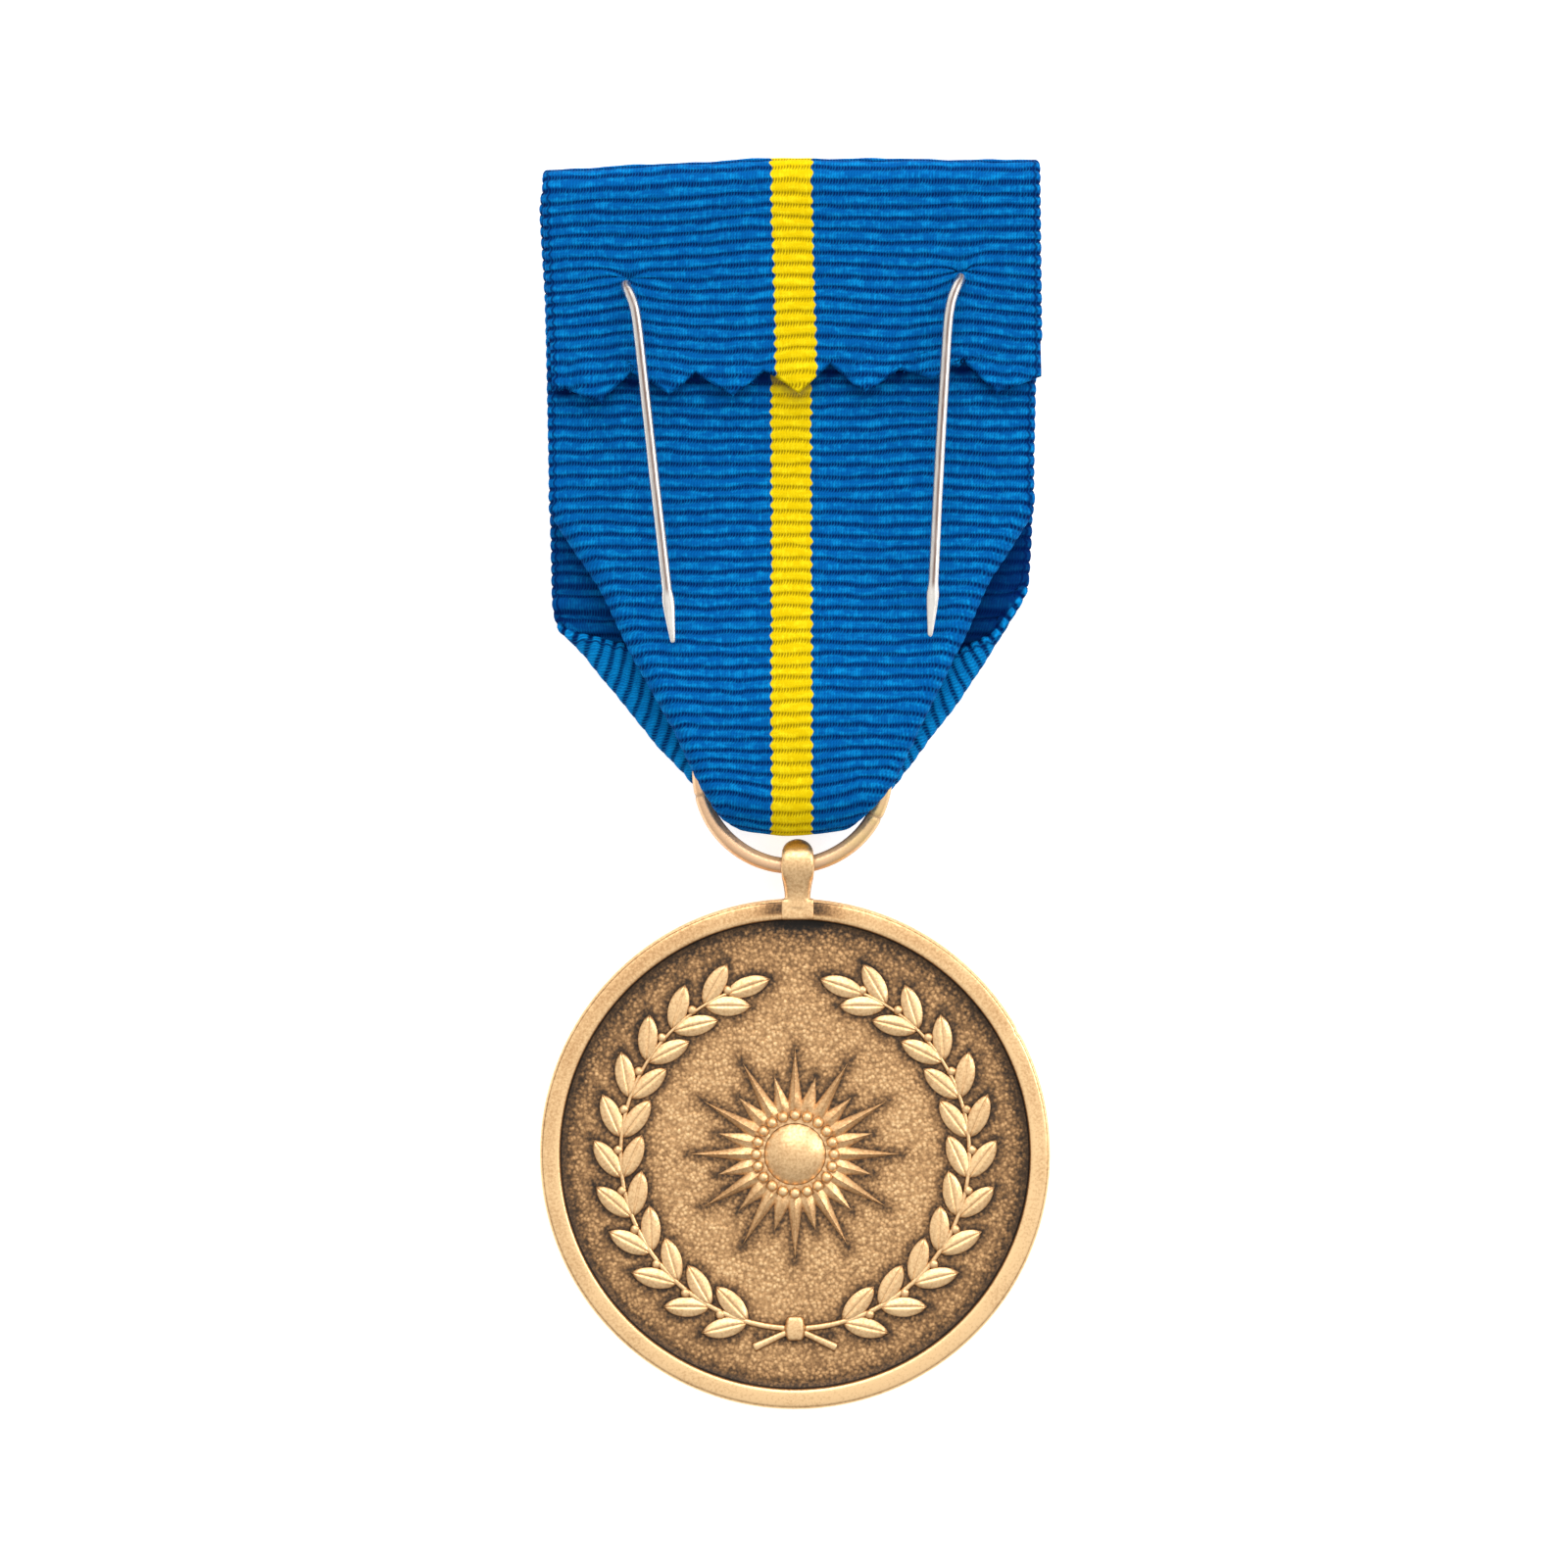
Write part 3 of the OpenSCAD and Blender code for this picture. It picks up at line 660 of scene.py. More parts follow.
def steel_finish(tree, settings):
    """Drawn steel wire: fine lines along the wire, small dull marks, and a painted reflection in brown where
    the drawn attribute is high."""
    place = millimetres(tree)
    stretched = put(tree, "ShaderNodeMapping", {"Vector": place, "Scale": (9.0, 0.5, 9.0)}).outputs[0]
    lines = noise(tree, stretched, 1.0, 3.0, 0.6)
    grain = use_group(tree, "metal_grain", {"Place": place, "Fine": 6.0, "Coarse": 0.8})
    shade = blend_colour(tree, spread(tree, lines, 0.35, 0.65), rgb(settings.steel_colour),
                         rgb(settings.steel_colour, 0.82))
    spotted = blend_colour(tree, spread(tree, grain["Speckle"], 0.7, 1.0, 0.0, 0.3), shade, PIN_SPOT)
    # Painted reflection: the brown line along the top of the wire, not metallic
    darkening = times(tree, point_value(tree, "drawn"), spread(tree, lines, 0.3, 0.6, 0.8, 1.0))
    return {
        "Base Color": blend_colour(tree, darkening, spotted, PIN_PAINTED_REFLECTION),
        "Roughness": spread(tree, lines, 0.3, 0.7, 0.24, 0.36),
        "Metallic": spread(tree, darkening, 0.0, 0.7, 1.0, 0.0),
        "Normal": bump(tree, lines, 0.2, 0.02 * MM),
    }


def silk_finish(tree, settings):
    """Corded silk: blue with a yellow stripe whose edge swells with the cords, painted shade on one side of
    each cord and in its groove, a dark stroke of painted shade for each thread between the cords, uneven
    patches, painted light along the cords and on the strips past the folds, looped selvages, and painted
    shade where the dusk attribute is high."""
    uv = put(tree, "ShaderNodeSeparateXYZ", {0: put(tree, "ShaderNodeUVMap", uv_map="cloth").outputs[0]})
    across = scaled(tree, uv.outputs[0], 1 / UV_SCALE, -UV_MIDDLE / UV_SCALE)
    along = scaled(tree, uv.outputs[1], 1 / UV_SCALE, -UV_START / UV_SCALE)
    pitch = settings.rib_pitch / MM
    weave = use_group(tree, "corded_weave",
                      {"Across": across, "Along": along, "Pitch": pitch, "Warp": WARP_PITCH})
    from_middle = calc(tree, "ABSOLUTE", across)
    ripple = calc(tree, "COSINE", times(tree, along, 2 * math.pi * MM / settings.rib_pitch))
    place = put(tree, "ShaderNodeCombineXYZ", {0: across, 1: along, 2: 0.0}).outputs[0]
    ragged = scaled(tree, noise(tree, place, 1.6, 2.0), 0.26, -0.13)
    side = plus(tree, from_middle, scaled(tree, ripple, 0.09, ragged))
    half = settings.stripe_width / MM / 2
    stripe = spread(tree, side, half - 0.04, half + 0.04, 1.0, 0.0)
    base = blend_colour(tree, stripe, rgb(settings.ribbon_colour), rgb(settings.stripe_colour))
    light = blend_colour(tree, stripe, *SILK_PATCH_AND_PAINTED_LIGHT)
    low = blend_colour(tree, stripe, rgb(settings.ribbon_colour, 0.42), STRIPE_THREAD_AND_PAINTED_SHADE)
    deep = blend_colour(tree, stripe, *SILK_PAINTED_DASH_SHADE)
    # Painted light: a sheen along the cords and the lit attribute, with the random patches, lighten the cords
    lit = scaled(tree, weave["PaintedSheen"], 0.45, times(tree, point_value(tree, "lit"), 0.65))
    patches_and_painted_light = plus(tree, spread(tree, weave["Patch"], 0.47, 0.62, 0.0, 0.9), lit, clamp=True)
    cord = blend_colour(tree, patches_and_painted_light, base, light)
    # Thread lines, painted shade by the grooves, then the painted dark strokes
    cord = blend_colour(tree, times(tree, weave["Thread"], 0.5), cord, low)
    cord = blend_colour(tree, times(tree, weave["PaintedGrooveShade"], 0.5), cord, low)
    cord = blend_colour(tree, times(tree, weave["PaintedDashShade"], 0.95), cord, deep)
    inset = calc(tree, "SUBTRACT", settings.ribbon_width / MM / 2, from_middle)
    edge = apart(tree, inset, scaled(tree, ripple, 0.1, 0.42))
    edge = spread(tree, edge, 0.03, 0.14, 0.75, 0.0, smooth=True)
    loops = times(tree, spread(tree, inset, 0.2, 0.5, 0.8, 0.0), spread(tree, ripple, 0.2, 0.9))
    looped = blend_colour(tree, calc(tree, "MAXIMUM", edge, loops), cord, SELVAGE_DARK)
    return {
        # Painted shade where the dusk attribute is high
        "Base Color": blend_colour(tree, times(tree, point_value(tree, "dusk"), 0.95), looped, SILK_PAINTED_SHADE),
        "Roughness": 0.8,
        "Specular IOR Level": 0.02,
        "Normal": bump(tree, weave["Height"], 0.5, 0.06 * MM),
    }


def floor_finish(tree, settings):
    """Pale matt floor with a faint broad mottle, that glows a little so that the picture's ground stays
    even."""
    return {
        "Base Color": blend_colour(tree, noise(tree, millimetres(tree), 0.02, 2.0), *FLOOR_COLOURS),
        "Roughness": 0.9,
        "Specular IOR Level": 0.1,
        "Emission Color": (1, 1, 1, 1),
        "Emission Strength": 0.7,
    }


FINISHES = {
    "struck_bronze": bronze_finish,
    "ring_copper": copper_finish,
    "pin_steel": steel_finish,
    "corded_silk": silk_finish,
    "pale_floor": floor_finish,
}


def material_of(name, settings):
    """The material of a finish, made when it is first used."""
    material = bpy.data.materials.get(name)
    if material:
        return material
    material = bpy.data.materials.new(name)
    material.use_nodes = True
    tree = material.node_tree
    tree.nodes.clear()
    shader = put(tree, "ShaderNodeBsdfPrincipled")
    put(tree, "ShaderNodeOutputMaterial", {"Surface": shader.outputs[0]})
    feed(tree, shader, FINISHES[name](tree, settings))
    return material


# Medallion

def disc_grid(cells):
    """Points of a unit disc: a square grid whose rings of squares become rings of circles."""
    a, b = np.meshgrid(np.linspace(-1, 1, cells + 1), np.linspace(-1, 1, cells + 1))
    wide = np.abs(a) >= np.abs(b)
    r = np.where(wide, a, b)
    safe_a = np.where(a == 0, 1, a)
    safe_b = np.where(b == 0, 1, b)
    turn = np.where(wide, math.pi / 4 * b / safe_a, math.pi / 2 - math.pi / 4 * a / safe_b)
    return np.stack([r * np.cos(turn), r * np.sin(turn)], -1)


def pebbles(x, y, size, seed):
    """Cellular domes: 1 at the middle of each cell's jittered point, falling off with the square of the
    distance. The cells repeat after a number of them that is wider than the disc."""
    draw = np.random.default_rng(seed)
    repeat = 128
    spots = draw.random((repeat, repeat, 2))
    tall = draw.uniform(0.5, 1.0, (repeat, repeat))
    u, v = x / size + repeat / 2, y / size + repeat / 2
    cell_u, cell_v = np.floor(u).astype(int), np.floor(v).astype(int)
    best = np.zeros_like(x)
    for du in (-1, 0, 1):
        for dv in (-1, 0, 1):
            at_u, at_v = (cell_u + du) % repeat, (cell_v + dv) % repeat
            from_u = u - cell_u - du - spots[at_u, at_v, 0]
            from_v = v - cell_v - dv - spots[at_u, at_v, 1]
            best = np.maximum(best, tall[at_u, at_v] * np.clip(1 - (from_u**2 + from_v**2) / 0.45, 0, 1))
    return best


def on_wreath(turn):
    """x and y of the wreath's circle at an angle."""
    return WREATH_R * np.cos(turn), WREATH_R * np.sin(turn)


def leaf_places(pairs):
    """Foot x, y and heading of every laurel leaf, both branches: pairs along the stem's arc and one at its
    end."""
    places = []
    for k in range(pairs):
        turn = math.radians(BRANCH_START + BRANCH_SWEEP * (k + 0.4) / pairs)
        for lean in LEAF_ANGLES:
            places.append((*on_wreath(turn), turn + math.radians(lean)))
    end = math.radians(BRANCH_START + BRANCH_SWEEP)
    places.append((*on_wreath(end), end + math.radians(LAST_LEAF_ANGLE)))
    places = np.array(places)
    mirrored = places * [-1, 1, -1] + [0, 0, math.pi]
    return np.concatenate([places, mirrored])


def berry_places(pairs):
    """Place of every berry, both branches."""
    turn = np.radians(BRANCH_START + BRANCH_SWEEP * (np.arange(pairs) + 0.4) / pairs)
    x = WREATH_R * np.cos(turn) - BERRY_ASIDE * np.sin(turn)
    y = WREATH_R * np.sin(turn) + BERRY_ASIDE * np.cos(turn)
    return np.concatenate([np.stack([x, y], -1), np.stack([-x, y], -1)])


def lens_half_width(s):
    """Half width of a leaf at each share of its length: the gap between two crossing arcs."""
    arc_r = (LEAF_LEN**2 + LEAF_W**2) / (4 * LEAF_W)
    return np.sqrt(np.maximum(arc_r**2 - ((s - 0.5) * LEAF_LEN) ** 2, 0)) - (arc_r - LEAF_W / 2)


def star_outline(count, steps):
    """Outline of the sunburst: straight sides between long tips, valleys and short tips, cut near their
    ends."""
    k = np.arange(4 * count)
    reach = np.where(k % 4 == 0, 1, np.where(k % 4 == 2, SHORT_RAY, RAY_VALLEY))
    turn = math.pi / 2 + 2 * math.pi * k / (4 * count)
    corner = RAY_R * reach[:, None] * np.stack([np.cos(turn), np.sin(turn)], -1)
    share = np.array(steps)[None, :, None]
    return (corner[:, None] * (1 - share) + np.roll(corner, -1, axis=0)[:, None] * share).reshape(-1, 2)


def relief_marks(settings):
    """Points round every raised form, for the dark patina beside it: leaves, sunburst, stems, bail's tab
    and tie."""
    leaves = leaf_places(settings.leaf_pairs)
    s = np.linspace(0, 1, 12)
    wide = lens_half_width(s)
    outline = np.concatenate([np.stack([s * LEAF_LEN, wide], -1), np.stack([s * LEAF_LEN, -wide], -1)])
    cos, sin = np.cos(leaves[:, 2:]), np.sin(leaves[:, 2:])
    x = leaves[:, :1] + outline[:, 0] * cos - outline[:, 1] * sin
    y = leaves[:, 1:2] + outline[:, 0] * sin + outline[:, 1] * cos
    star = star_outline(settings.ray_count, np.arange(12) / 12)
    stem = np.stack(on_wreath(np.radians(np.linspace(STEM_START, BRANCH_START + BRANCH_SWEEP, 90))), -1)
    tab = np.stack([np.linspace(-1.0, 1.4, 8), np.full(8, 16.4)], -1)
    tie = np.stack([np.linspace(-2.6, 2.6, 14), np.full(14, -WREATH_R - 0.6)], -1)
    return np.concatenate([np.stack([x.ravel(), y.ravel()], -1), star, stem, stem * [-1, 1], tab, tie])


def nearness(points, marks):
    """Distance from each point to the nearest mark, worked out in blocks so that it fits in memory."""
    gap = np.empty(len(points))
    size = 4096
    for k in range(0, len(points), size):
        block = points[k:k + size, None] - marks[None]
        gap[k:k + size] = np.sqrt((block**2).sum(-1).min(1))
    return gap


def pebbled_field(settings, field_r):
    """Recessed field on a disc grid: a slight dish and a cove along the rim, with domed pebbles on it.
    Gives its points, their patina, which is dark beside the relief and along the rim, where painted shadow
    widens the dark band towards +y, and how pebbled they are."""
    flat = disc_grid(FIELD_CELLS)
    x, y = flat[..., 0] * field_r, flat[..., 1] * field_r
    r = np.hypot(x, y)
    from_rim = field_r - r
    dish = 0.1 * (1 - (r / field_r) ** 2) - 0.05
    cove = 0.09 * ease(1 - from_rim / 0.35)
    fade = ease((from_rim - 0.15) / 0.35)
    bumps = pebbles(x, y, PEBBLE, SEED)
    z = FIELD_Z + dish + cove + PEBBLE_H * bumps * fade
    gap = nearness(np.stack([x.ravel(), y.ravel()], -1), relief_marks(settings)).reshape(x.shape)
    beside = np.exp(-((gap / 0.5) ** 1.4))
    # Patina along the rim, and painted shadow of the rim that widens it towards +y
    rim_shadow_side = 0.5 + 0.5 * y / field_r
    patina_and_shadow_by_rim = np.exp(-((np.maximum(from_rim, 0) / (0.6 + 0.5 * rim_shadow_side)) ** 1.3))
    darkening = 0.33 - 0.1 * ease((field_r - 1.5 - r) / 8)
    pits = 0.07 * (0.5 - bumps) * fade
    dark = np.clip(darkening + pits + 0.5 * beside + 0.5 * patina_and_shadow_by_rim, 0, 1)
    pebbled = fade * (1 - 0.5 * beside)
    return np.stack([x, y, z], -1).reshape(-1, 3), dark.ravel(), pebbled.ravel()


def rim_profile(disc_r, field_r):
    """Radius, height and patina down the rim from the field's border, over the edge, to the back field."""
    return np.array((
        (field_r + 0.03, FIELD_Z + 0.06, 1.0),
        (field_r + 0.08, FIELD_Z + 0.25, 0.95),
        (field_r + 0.11, DISC_H - 0.22, 0.6),
        (field_r + 0.15, DISC_H - 0.1, 0.2),
        (field_r + 0.21, DISC_H - 0.03, 0.0),
        (field_r + 0.38, DISC_H, 0.0),
        (field_r + 0.6, DISC_H - 0.005, 0.1),
        (field_r + 0.95, DISC_H - 0.02, 0.12),
        (disc_r - 0.34, DISC_H - 0.05, 0.08),
        (disc_r - 0.25, DISC_H - 0.07, 0.02),
        (disc_r - 0.205, DISC_H - 0.13, 0.5),
        (disc_r - 0.16, DISC_H - 0.12, 0.1),
        (disc_r - 0.1, DISC_H - 0.16, 0.0),
        (disc_r - 0.04, DISC_H - 0.29, 0.0),
        (disc_r - 0.01, DISC_H - 0.48, 0.05),
        (disc_r, DISC_H - 0.8, 0.12),
        (disc_r, 0.8, 0.14),
        (disc_r - 0.01, 0.48, 0.1),
        (disc_r - 0.1, 0.18, 0.08),
        (disc_r - 0.3, 0.02, 0.06),
        (field_r + 0.3, 0.0, 0.06),
        (field_r + 0.12, 0.08, 0.2),
        (field_r + 0.05, FIELD_DEPTH - 0.15, 0.9),
        (field_r - 0.15, FIELD_DEPTH, 0.9),
        (field_r - 1.6, FIELD_DEPTH, 0.5),
        (field_r - 6.0, FIELD_DEPTH, 0.38),
        (1.0, FIELD_DEPTH, 0.34),
    ))


def patina_and_painted_light_round_rim(profile, turn, disc_r, field_r):
    """Patina all round the rim: the profile's own, darker beside the bail's tab, and on the flat top painted
    light and shade, a slow change round the disc that is darkest at 105 degrees and lightest opposite."""
    radius, height = profile[:, 0], profile[:, 1]
    from_tab = np.abs((disc_r * np.cos(turn)) - (BAIL_X - DISC_X)) - TAB_HALF_W
    corner = np.where(np.sin(turn) > 0, np.exp(-((np.maximum(from_tab, 0) / 1.5) ** 2)), 0)
    flat_top = ((radius > field_r + 0.15) & (height > 2.6)).astype(float)
    outer_half = ((radius > field_r + 0.5) & (radius < disc_r - 0.2) & (height > 2)).astype(float)
    stain = profile[:, 2:3] + 0.5 * outer_half[:, None] * corner[None]
    # Painted light and shade on the flat top: darker towards 105 degrees, lighter opposite
    stain = stain + 0.11 * flat_top[:, None] * np.cos(turn - math.radians(105))[None]
    return np.clip(stain, 0, 1)


def build_disc(settings):
    """Struck disc: a pebbled field on a disc grid, and a profile turned round it for the rim, edge and
    back."""
    disc_r = settings.disc_diameter / MM / 2
    field_r = disc_r - settings.rim_width / MM
    field, dark, pebbled = pebbled_field(settings, field_r)
    border = grid_border(FIELD_CELLS + 1, FIELD_CELLS + 1)
    turn = np.arctan2(field[border, 1], field[border, 0])
    profile = rim_profile(disc_r, field_r)
    radius = profile[:, 0]
    dent = DENT_DEPTH * np.exp(-((np.degrees(turn) - DENT_TURN) / 0.7) ** 2)
    dented = radius > disc_r - 0.35
    rings = np.stack([
        np.outer(radius, np.cos(turn)) - np.outer(dented, dent * np.cos(turn)),
        np.outer(radius, np.sin(turn)) - np.outer(dented, dent * np.sin(turn)),
        np.repeat(profile[:, 1:2], len(turn), 1),
    ], -1)
    points = np.concatenate([field, rings.reshape(-1, 3), [[0, 0, FIELD_DEPTH]]])
    numbers = len(field) + np.arange(len(profile) * len(turn)).reshape(-1, len(turn))
    numbers = np.concatenate([border[None], numbers])
    here, there = numbers[:-1], numbers[1:]
    side = np.stack([here, there, np.roll(there, -1, 1), np.roll(here, -1, 1)], -1).reshape(-1, 4)
    faces = [grid_quads(FIELD_CELLS + 1, FIELD_CELLS + 1), side, fan(numbers[-1][::-1], len(points) - 1)]
    stain = patina_and_painted_light_round_rim(profile, turn, disc_r, field_r).ravel()
    surfaces = Surfaces("patina", "pebbled")
    surfaces.add(points + [DISC_X, DISC_Y, 0], faces, patina=np.concatenate([dark, stain, profile[-1:, 2]]),
                 pebbled=np.concatenate([pebbled, np.zeros(stain.size + 1)]))
    piece_from("medallion_disc", surfaces, "struck_bronze", settings, "medallion")


def proud(z, top):
    """Patina of a raised form: dark at the field and bright from a height upwards."""
    return np.clip(0.98 - 0.9 * ease(z / top), 0.08, 1)


def leaf_patch():
    """One leaf along +X: a ridge that falls to both sides, a groove for its midrib, and a skirt below the
    field."""
    s = np.linspace(0.0, 1.0, 22)[:, None]
    half = np.array([0.1, 0.22, 0.4, 0.6, 0.8, 0.94, 1.0, 1.0])
    t = np.concatenate([-half[::-1], [0.0], half])
    wide = lens_half_width(s)
    sides = np.abs(t)
    crown = 0.17 + 0.2 * (1 - sides**1.4) - 0.13 * np.exp(-((t / 0.13) ** 2))
    veins = 0.018 * np.cos((s * 9 - sides * 1.6) * 2 * math.pi) * sides * (1 - sides) * 4
    lift = ease(s / 0.16) * ease((1 - s) / 0.14) * (0.86 + 0.3 * np.sin(s * math.pi))
    z = (crown + veins) * (0.25 + 0.75 * lift)
    z[:, [0, -1]] = -0.2
    x = np.broadcast_to(s * LEAF_LEN, z.shape)
    y = wide * t
    y[:, [0, -1]] *= 1.04
    return np.stack([x, y, z], -1)


def add_leaves(surfaces, settings):
    """Leaves of both branches: one leaf turned to each heading, some a little higher than others."""
    leaf = leaf_patch()
    leaf, faces = closed(leaf, [grid_quads(*leaf.shape[:2])[:, ::-1]], grid_border(*leaf.shape[:2]))
    for k, (x, y, heading) in enumerate(leaf_places(settings.leaf_pairs)):
        cos, sin = math.cos(heading), math.sin(heading)
        lift = 0.03 * ((k * 7) % 5 - 2) / 2
        placed = np.stack([x + leaf[:, 0] * cos - leaf[:, 1] * sin, y + leaf[:, 0] * sin + leaf[:, 1] * cos,
                           leaf[:, 2] + lift], -1)
        surfaces.add(placed + FIELD_MIDDLE, faces, patina=proud(leaf[:, 2], 0.27))


def half_ball(rings=7, sides=14):
    """Closed dome of a berry's size, from a little below its middle to its top."""
    up = np.linspace(-0.35, math.pi / 2 - 0.02, rings)[:, None]
    a = full_turn(sides)[None]
    dome = np.stack([np.cos(up) * np.cos(a), np.cos(up) * np.sin(a), np.sin(up) * np.ones_like(a)], -1)
    points = np.concatenate([BERRY_R * dome.reshape(-1, 3), [[0, 0, BERRY_R]]])
    first = np.arange(sides)
    faces = [grid_quads(rings, sides, close_cols=True), fan(first + (rings - 1) * sides, rings * sides)]
    return closed(points, faces, first[::-1])


def add_balls(surfaces, settings):
    """Berries beside the leaves, sunk a little into the field, and raised beads in a ring round the
    boss."""
    ball, faces = half_ball()
    turn = np.arange(BEAD_COUNT) * 2 * math.pi / BEAD_COUNT
    beads = [(BEAD_RING_R * math.cos(a), BEAD_RING_R * math.sin(a)) for a in turn]
    berries = berry_places(settings.leaf_pairs)
    for places, size, lift in ((berries, BERRY_R, BERRY_LIFT), (beads, BEAD_R, BEAD_LIFT)):
        points = ball * (size / BERRY_R)
        points[:, 2] += lift
        patina = proud(points[:, 2] - 0.02, size * 0.9 + lift * 0.5)
        for at in places:
            surfaces.add(points + FIELD_MIDDLE + [at[0], at[1], 0], faces, patina=patina)


def add_stems(surfaces):
    """Stems of both branches: tapering tubes along the wreath's circle."""
    steps = 140
    x, y = on_wreath(np.radians(np.linspace(STEM_START, BRANCH_START + BRANCH_SWEEP + 1, steps)))
    size = 0.24 - 0.1 * np.linspace(0, 1, steps)
    for side, order in ((1, slice(None)), (-1, slice(None, None, -1))):
        line = np.stack([side * x, y, np.zeros(steps)], -1)
        points, faces = swept_tube(line[order], size[order], np.full(steps, 0.26), 12)
        surfaces.add(points + FIELD_MIDDLE, faces, patina=proud(points[:, 2], 0.24))


def add_sunburst(surfaces, settings):
    """Ridged rays: the star's outline drawn in towards the middle, rising with the distance from it and
    levelling off, and lower again under the boss."""
    steps = np.array((0.0, 0.03, 0.1, 0.26, 0.5, 0.74, 0.9, 0.97))
    outline = star_outline(settings.ray_count, steps)
    share = np.concatenate([[1.005], np.linspace(1, 0.2, 26)])[:, None]
    grid = outline[None] * share[..., None]
    valley = np.tile(np.concatenate([1 - steps, steps]), settings.ray_count * 2)
    z = RAY_PEAK * np.maximum(1 - share, 0) ** 0.92 * (0.9 + 0.1 * (1 - valley))
    z = z / (1 + (z / 0.78) ** 4) ** 0.25
    z = z * (0.4 + 0.6 * ease((np.linalg.norm(grid, axis=-1) - 2.8) / 0.9)) + 0.03
    z[0] = -0.15
    dark = np.clip(0.06 + 0.75 * np.exp(-(z - 0.03) / 0.07) + 0.2 * valley * ease(z / 0.3), 0, 1)
    points, faces = closed_rings(np.concatenate([grid, z[..., None]], -1))
    surfaces.add(points + FIELD_MIDDLE, faces, patina=np.append(dark, [0.5, 0.5]))


def add_boss(surfaces):
    """Boss: the cap of a large ball, with a skirt below its edge."""
    rows, cols = 14, 72
    up = np.linspace(0, 1, rows)[:, None]
    a = full_turn(cols)[None]
    radius = BOSS_R * np.sin(up * math.pi / 2) + 0.001
    height = BOSS_H - BOSS_BALL_R + np.sqrt(BOSS_BALL_R**2 - radius**2) + 0.32
    height[-1] = 0.1
    dome = np.stack([radius * np.cos(a), radius * np.sin(a), height * np.ones_like(a)], -1)[::-1]
    dark = np.broadcast_to(0.6 * ease((up[::-1] - 0.78) / 0.22), (rows, cols)) + 0.12
    points, faces = closed_rings(dome)
    surfaces.add(points + FIELD_MIDDLE, faces, patina=np.append(dark, [0.72, 0.12]))


def add_tie(surfaces):
    """Tie of the branches: two leaning ends that widen, and a rounded knot with cross ridges over them."""
    t = np.linspace(0, 1, 20)[:, None]
    for lean in (180 + TIE_LEAN, -TIE_LEAN):
        head = math.radians(lean)
        line = np.array([0, -WREATH_R, 0.02]) + t * TIE_LEN * np.array([math.cos(head), math.sin(head), 0.0])
        points, faces = swept_tube(line, 0.25 + 0.1 * t[:, 0] ** 2, np.full(20, 0.28), 12)
        surfaces.add(points + FIELD_MIDDLE, faces, patina=proud(points[:, 2], 0.26))
    t = np.linspace(-1, 1, 24)
    line = np.stack([np.zeros(24), -WREATH_R + t * 0.9, np.zeros(24)], -1)
    size = 0.75 * (1 - np.abs(t) ** 4) ** 0.25 * (1 - 0.1 * np.abs(t))
    points, faces = swept_tube(line, size, 0.58 * size / 0.75, 22, power=0.6)
    ridge = 0.05 * np.cos(points[:, 0] * 2 * math.pi / 0.42)
    points[:, 2] += np.where(points[:, 2] > 0.3, ridge, 0)
    surfaces.add(points + FIELD_MIDDLE, faces, patina=proud(points[:, 2], 0.5))


def build_relief(settings):
    """Raised design: two laurel branches, their tie, a ridged sunburst and a beaded boss."""
    surfaces = Surfaces("patina")
    add_leaves(surfaces, settings)
    add_balls(surfaces, settings)
    add_stems(surfaces)
    add_sunburst(surfaces, settings)
    add_boss(surfaces)
    add_tie(surfaces)
    piece_from("medallion_relief", surfaces, "struck_bronze", settings, "medallion")


def bail_half_width(y):
    """Half width of the bail seen from above: a round head over a slightly wider one, then a tapering
    neck."""
    head = 1.12 * np.sqrt(np.clip(1 - ((y - BAIL_HEAD_Y) / 1.08) ** 2, 0, 1))
    return np.where(y > BAIL_HEAD_Y, head, soft_read(BAIL_WIDTHS, y, 0.3))


def add_band(surfaces):
    """Band round the eye: a rounded square section carried round a circle that stands upright."""
    a = full_turn(120)
    b = full_turn(36)
    cos = squared(b, 0.55)[0]
    sin = squared(b, 0.62)[1]
    radius = 1.34 + 0.34 * sin[None]
    y = EYE_Y + radius * np.cos(a)[:, None]
    z = EYE_Z + radius * np.sin(a)[:, None]
    band = np.stack([BAIL_X + np.maximum(bail_half_width(y), 0.3) * cos, y, z], -1)
    surfaces.add(band, [grid_quads(120, 36, close_rows=True, close_cols=True)[:, ::-1]])


def add_neck(surfaces):
    """Neck: a rounded bar whose top falls from the band to the tab, and whose underside meets the disc's
    edge."""
    steps = 46
    y = np.linspace(-6.0, -8.75, steps)
    top = 3.2 + 0.4 * (1 + np.cos(math.pi * np.clip((-5.6 - y) / 2.7, 0, 1)))
    low = np.interp(y, [-8.75, -7.3, -6.8, -6.62, -6.3, -6.0], [1.05, 1.15, 1.6, 2.5, 3.15, 3.32])
    line = np.stack([np.full(steps, BAIL_X), y, (top + low) / 2], -1)
    surfaces.add(*swept_tube(line, bail_half_width(y), (top - low) / 2, 40, 0.55, heading=(0.0, -1.0, 0.0)))


def add_tab(surfaces):
    """Tab soldered to the rim: a flat block with rounded ends."""
    steps = 30
    t = np.linspace(-1, 1, steps)
    keep = np.maximum(1 - np.abs(t) ** 9, 0.02) ** 0.4
    line = np.stack([np.full(steps, BAIL_X), np.linspace(-8.12, -9.64, steps), np.full(steps, 2.72)], -1)
    surfaces.add(*swept_tube(line, 1.16 * (0.92 + 0.08 * keep), 0.43 * keep, 32, power=0.3))


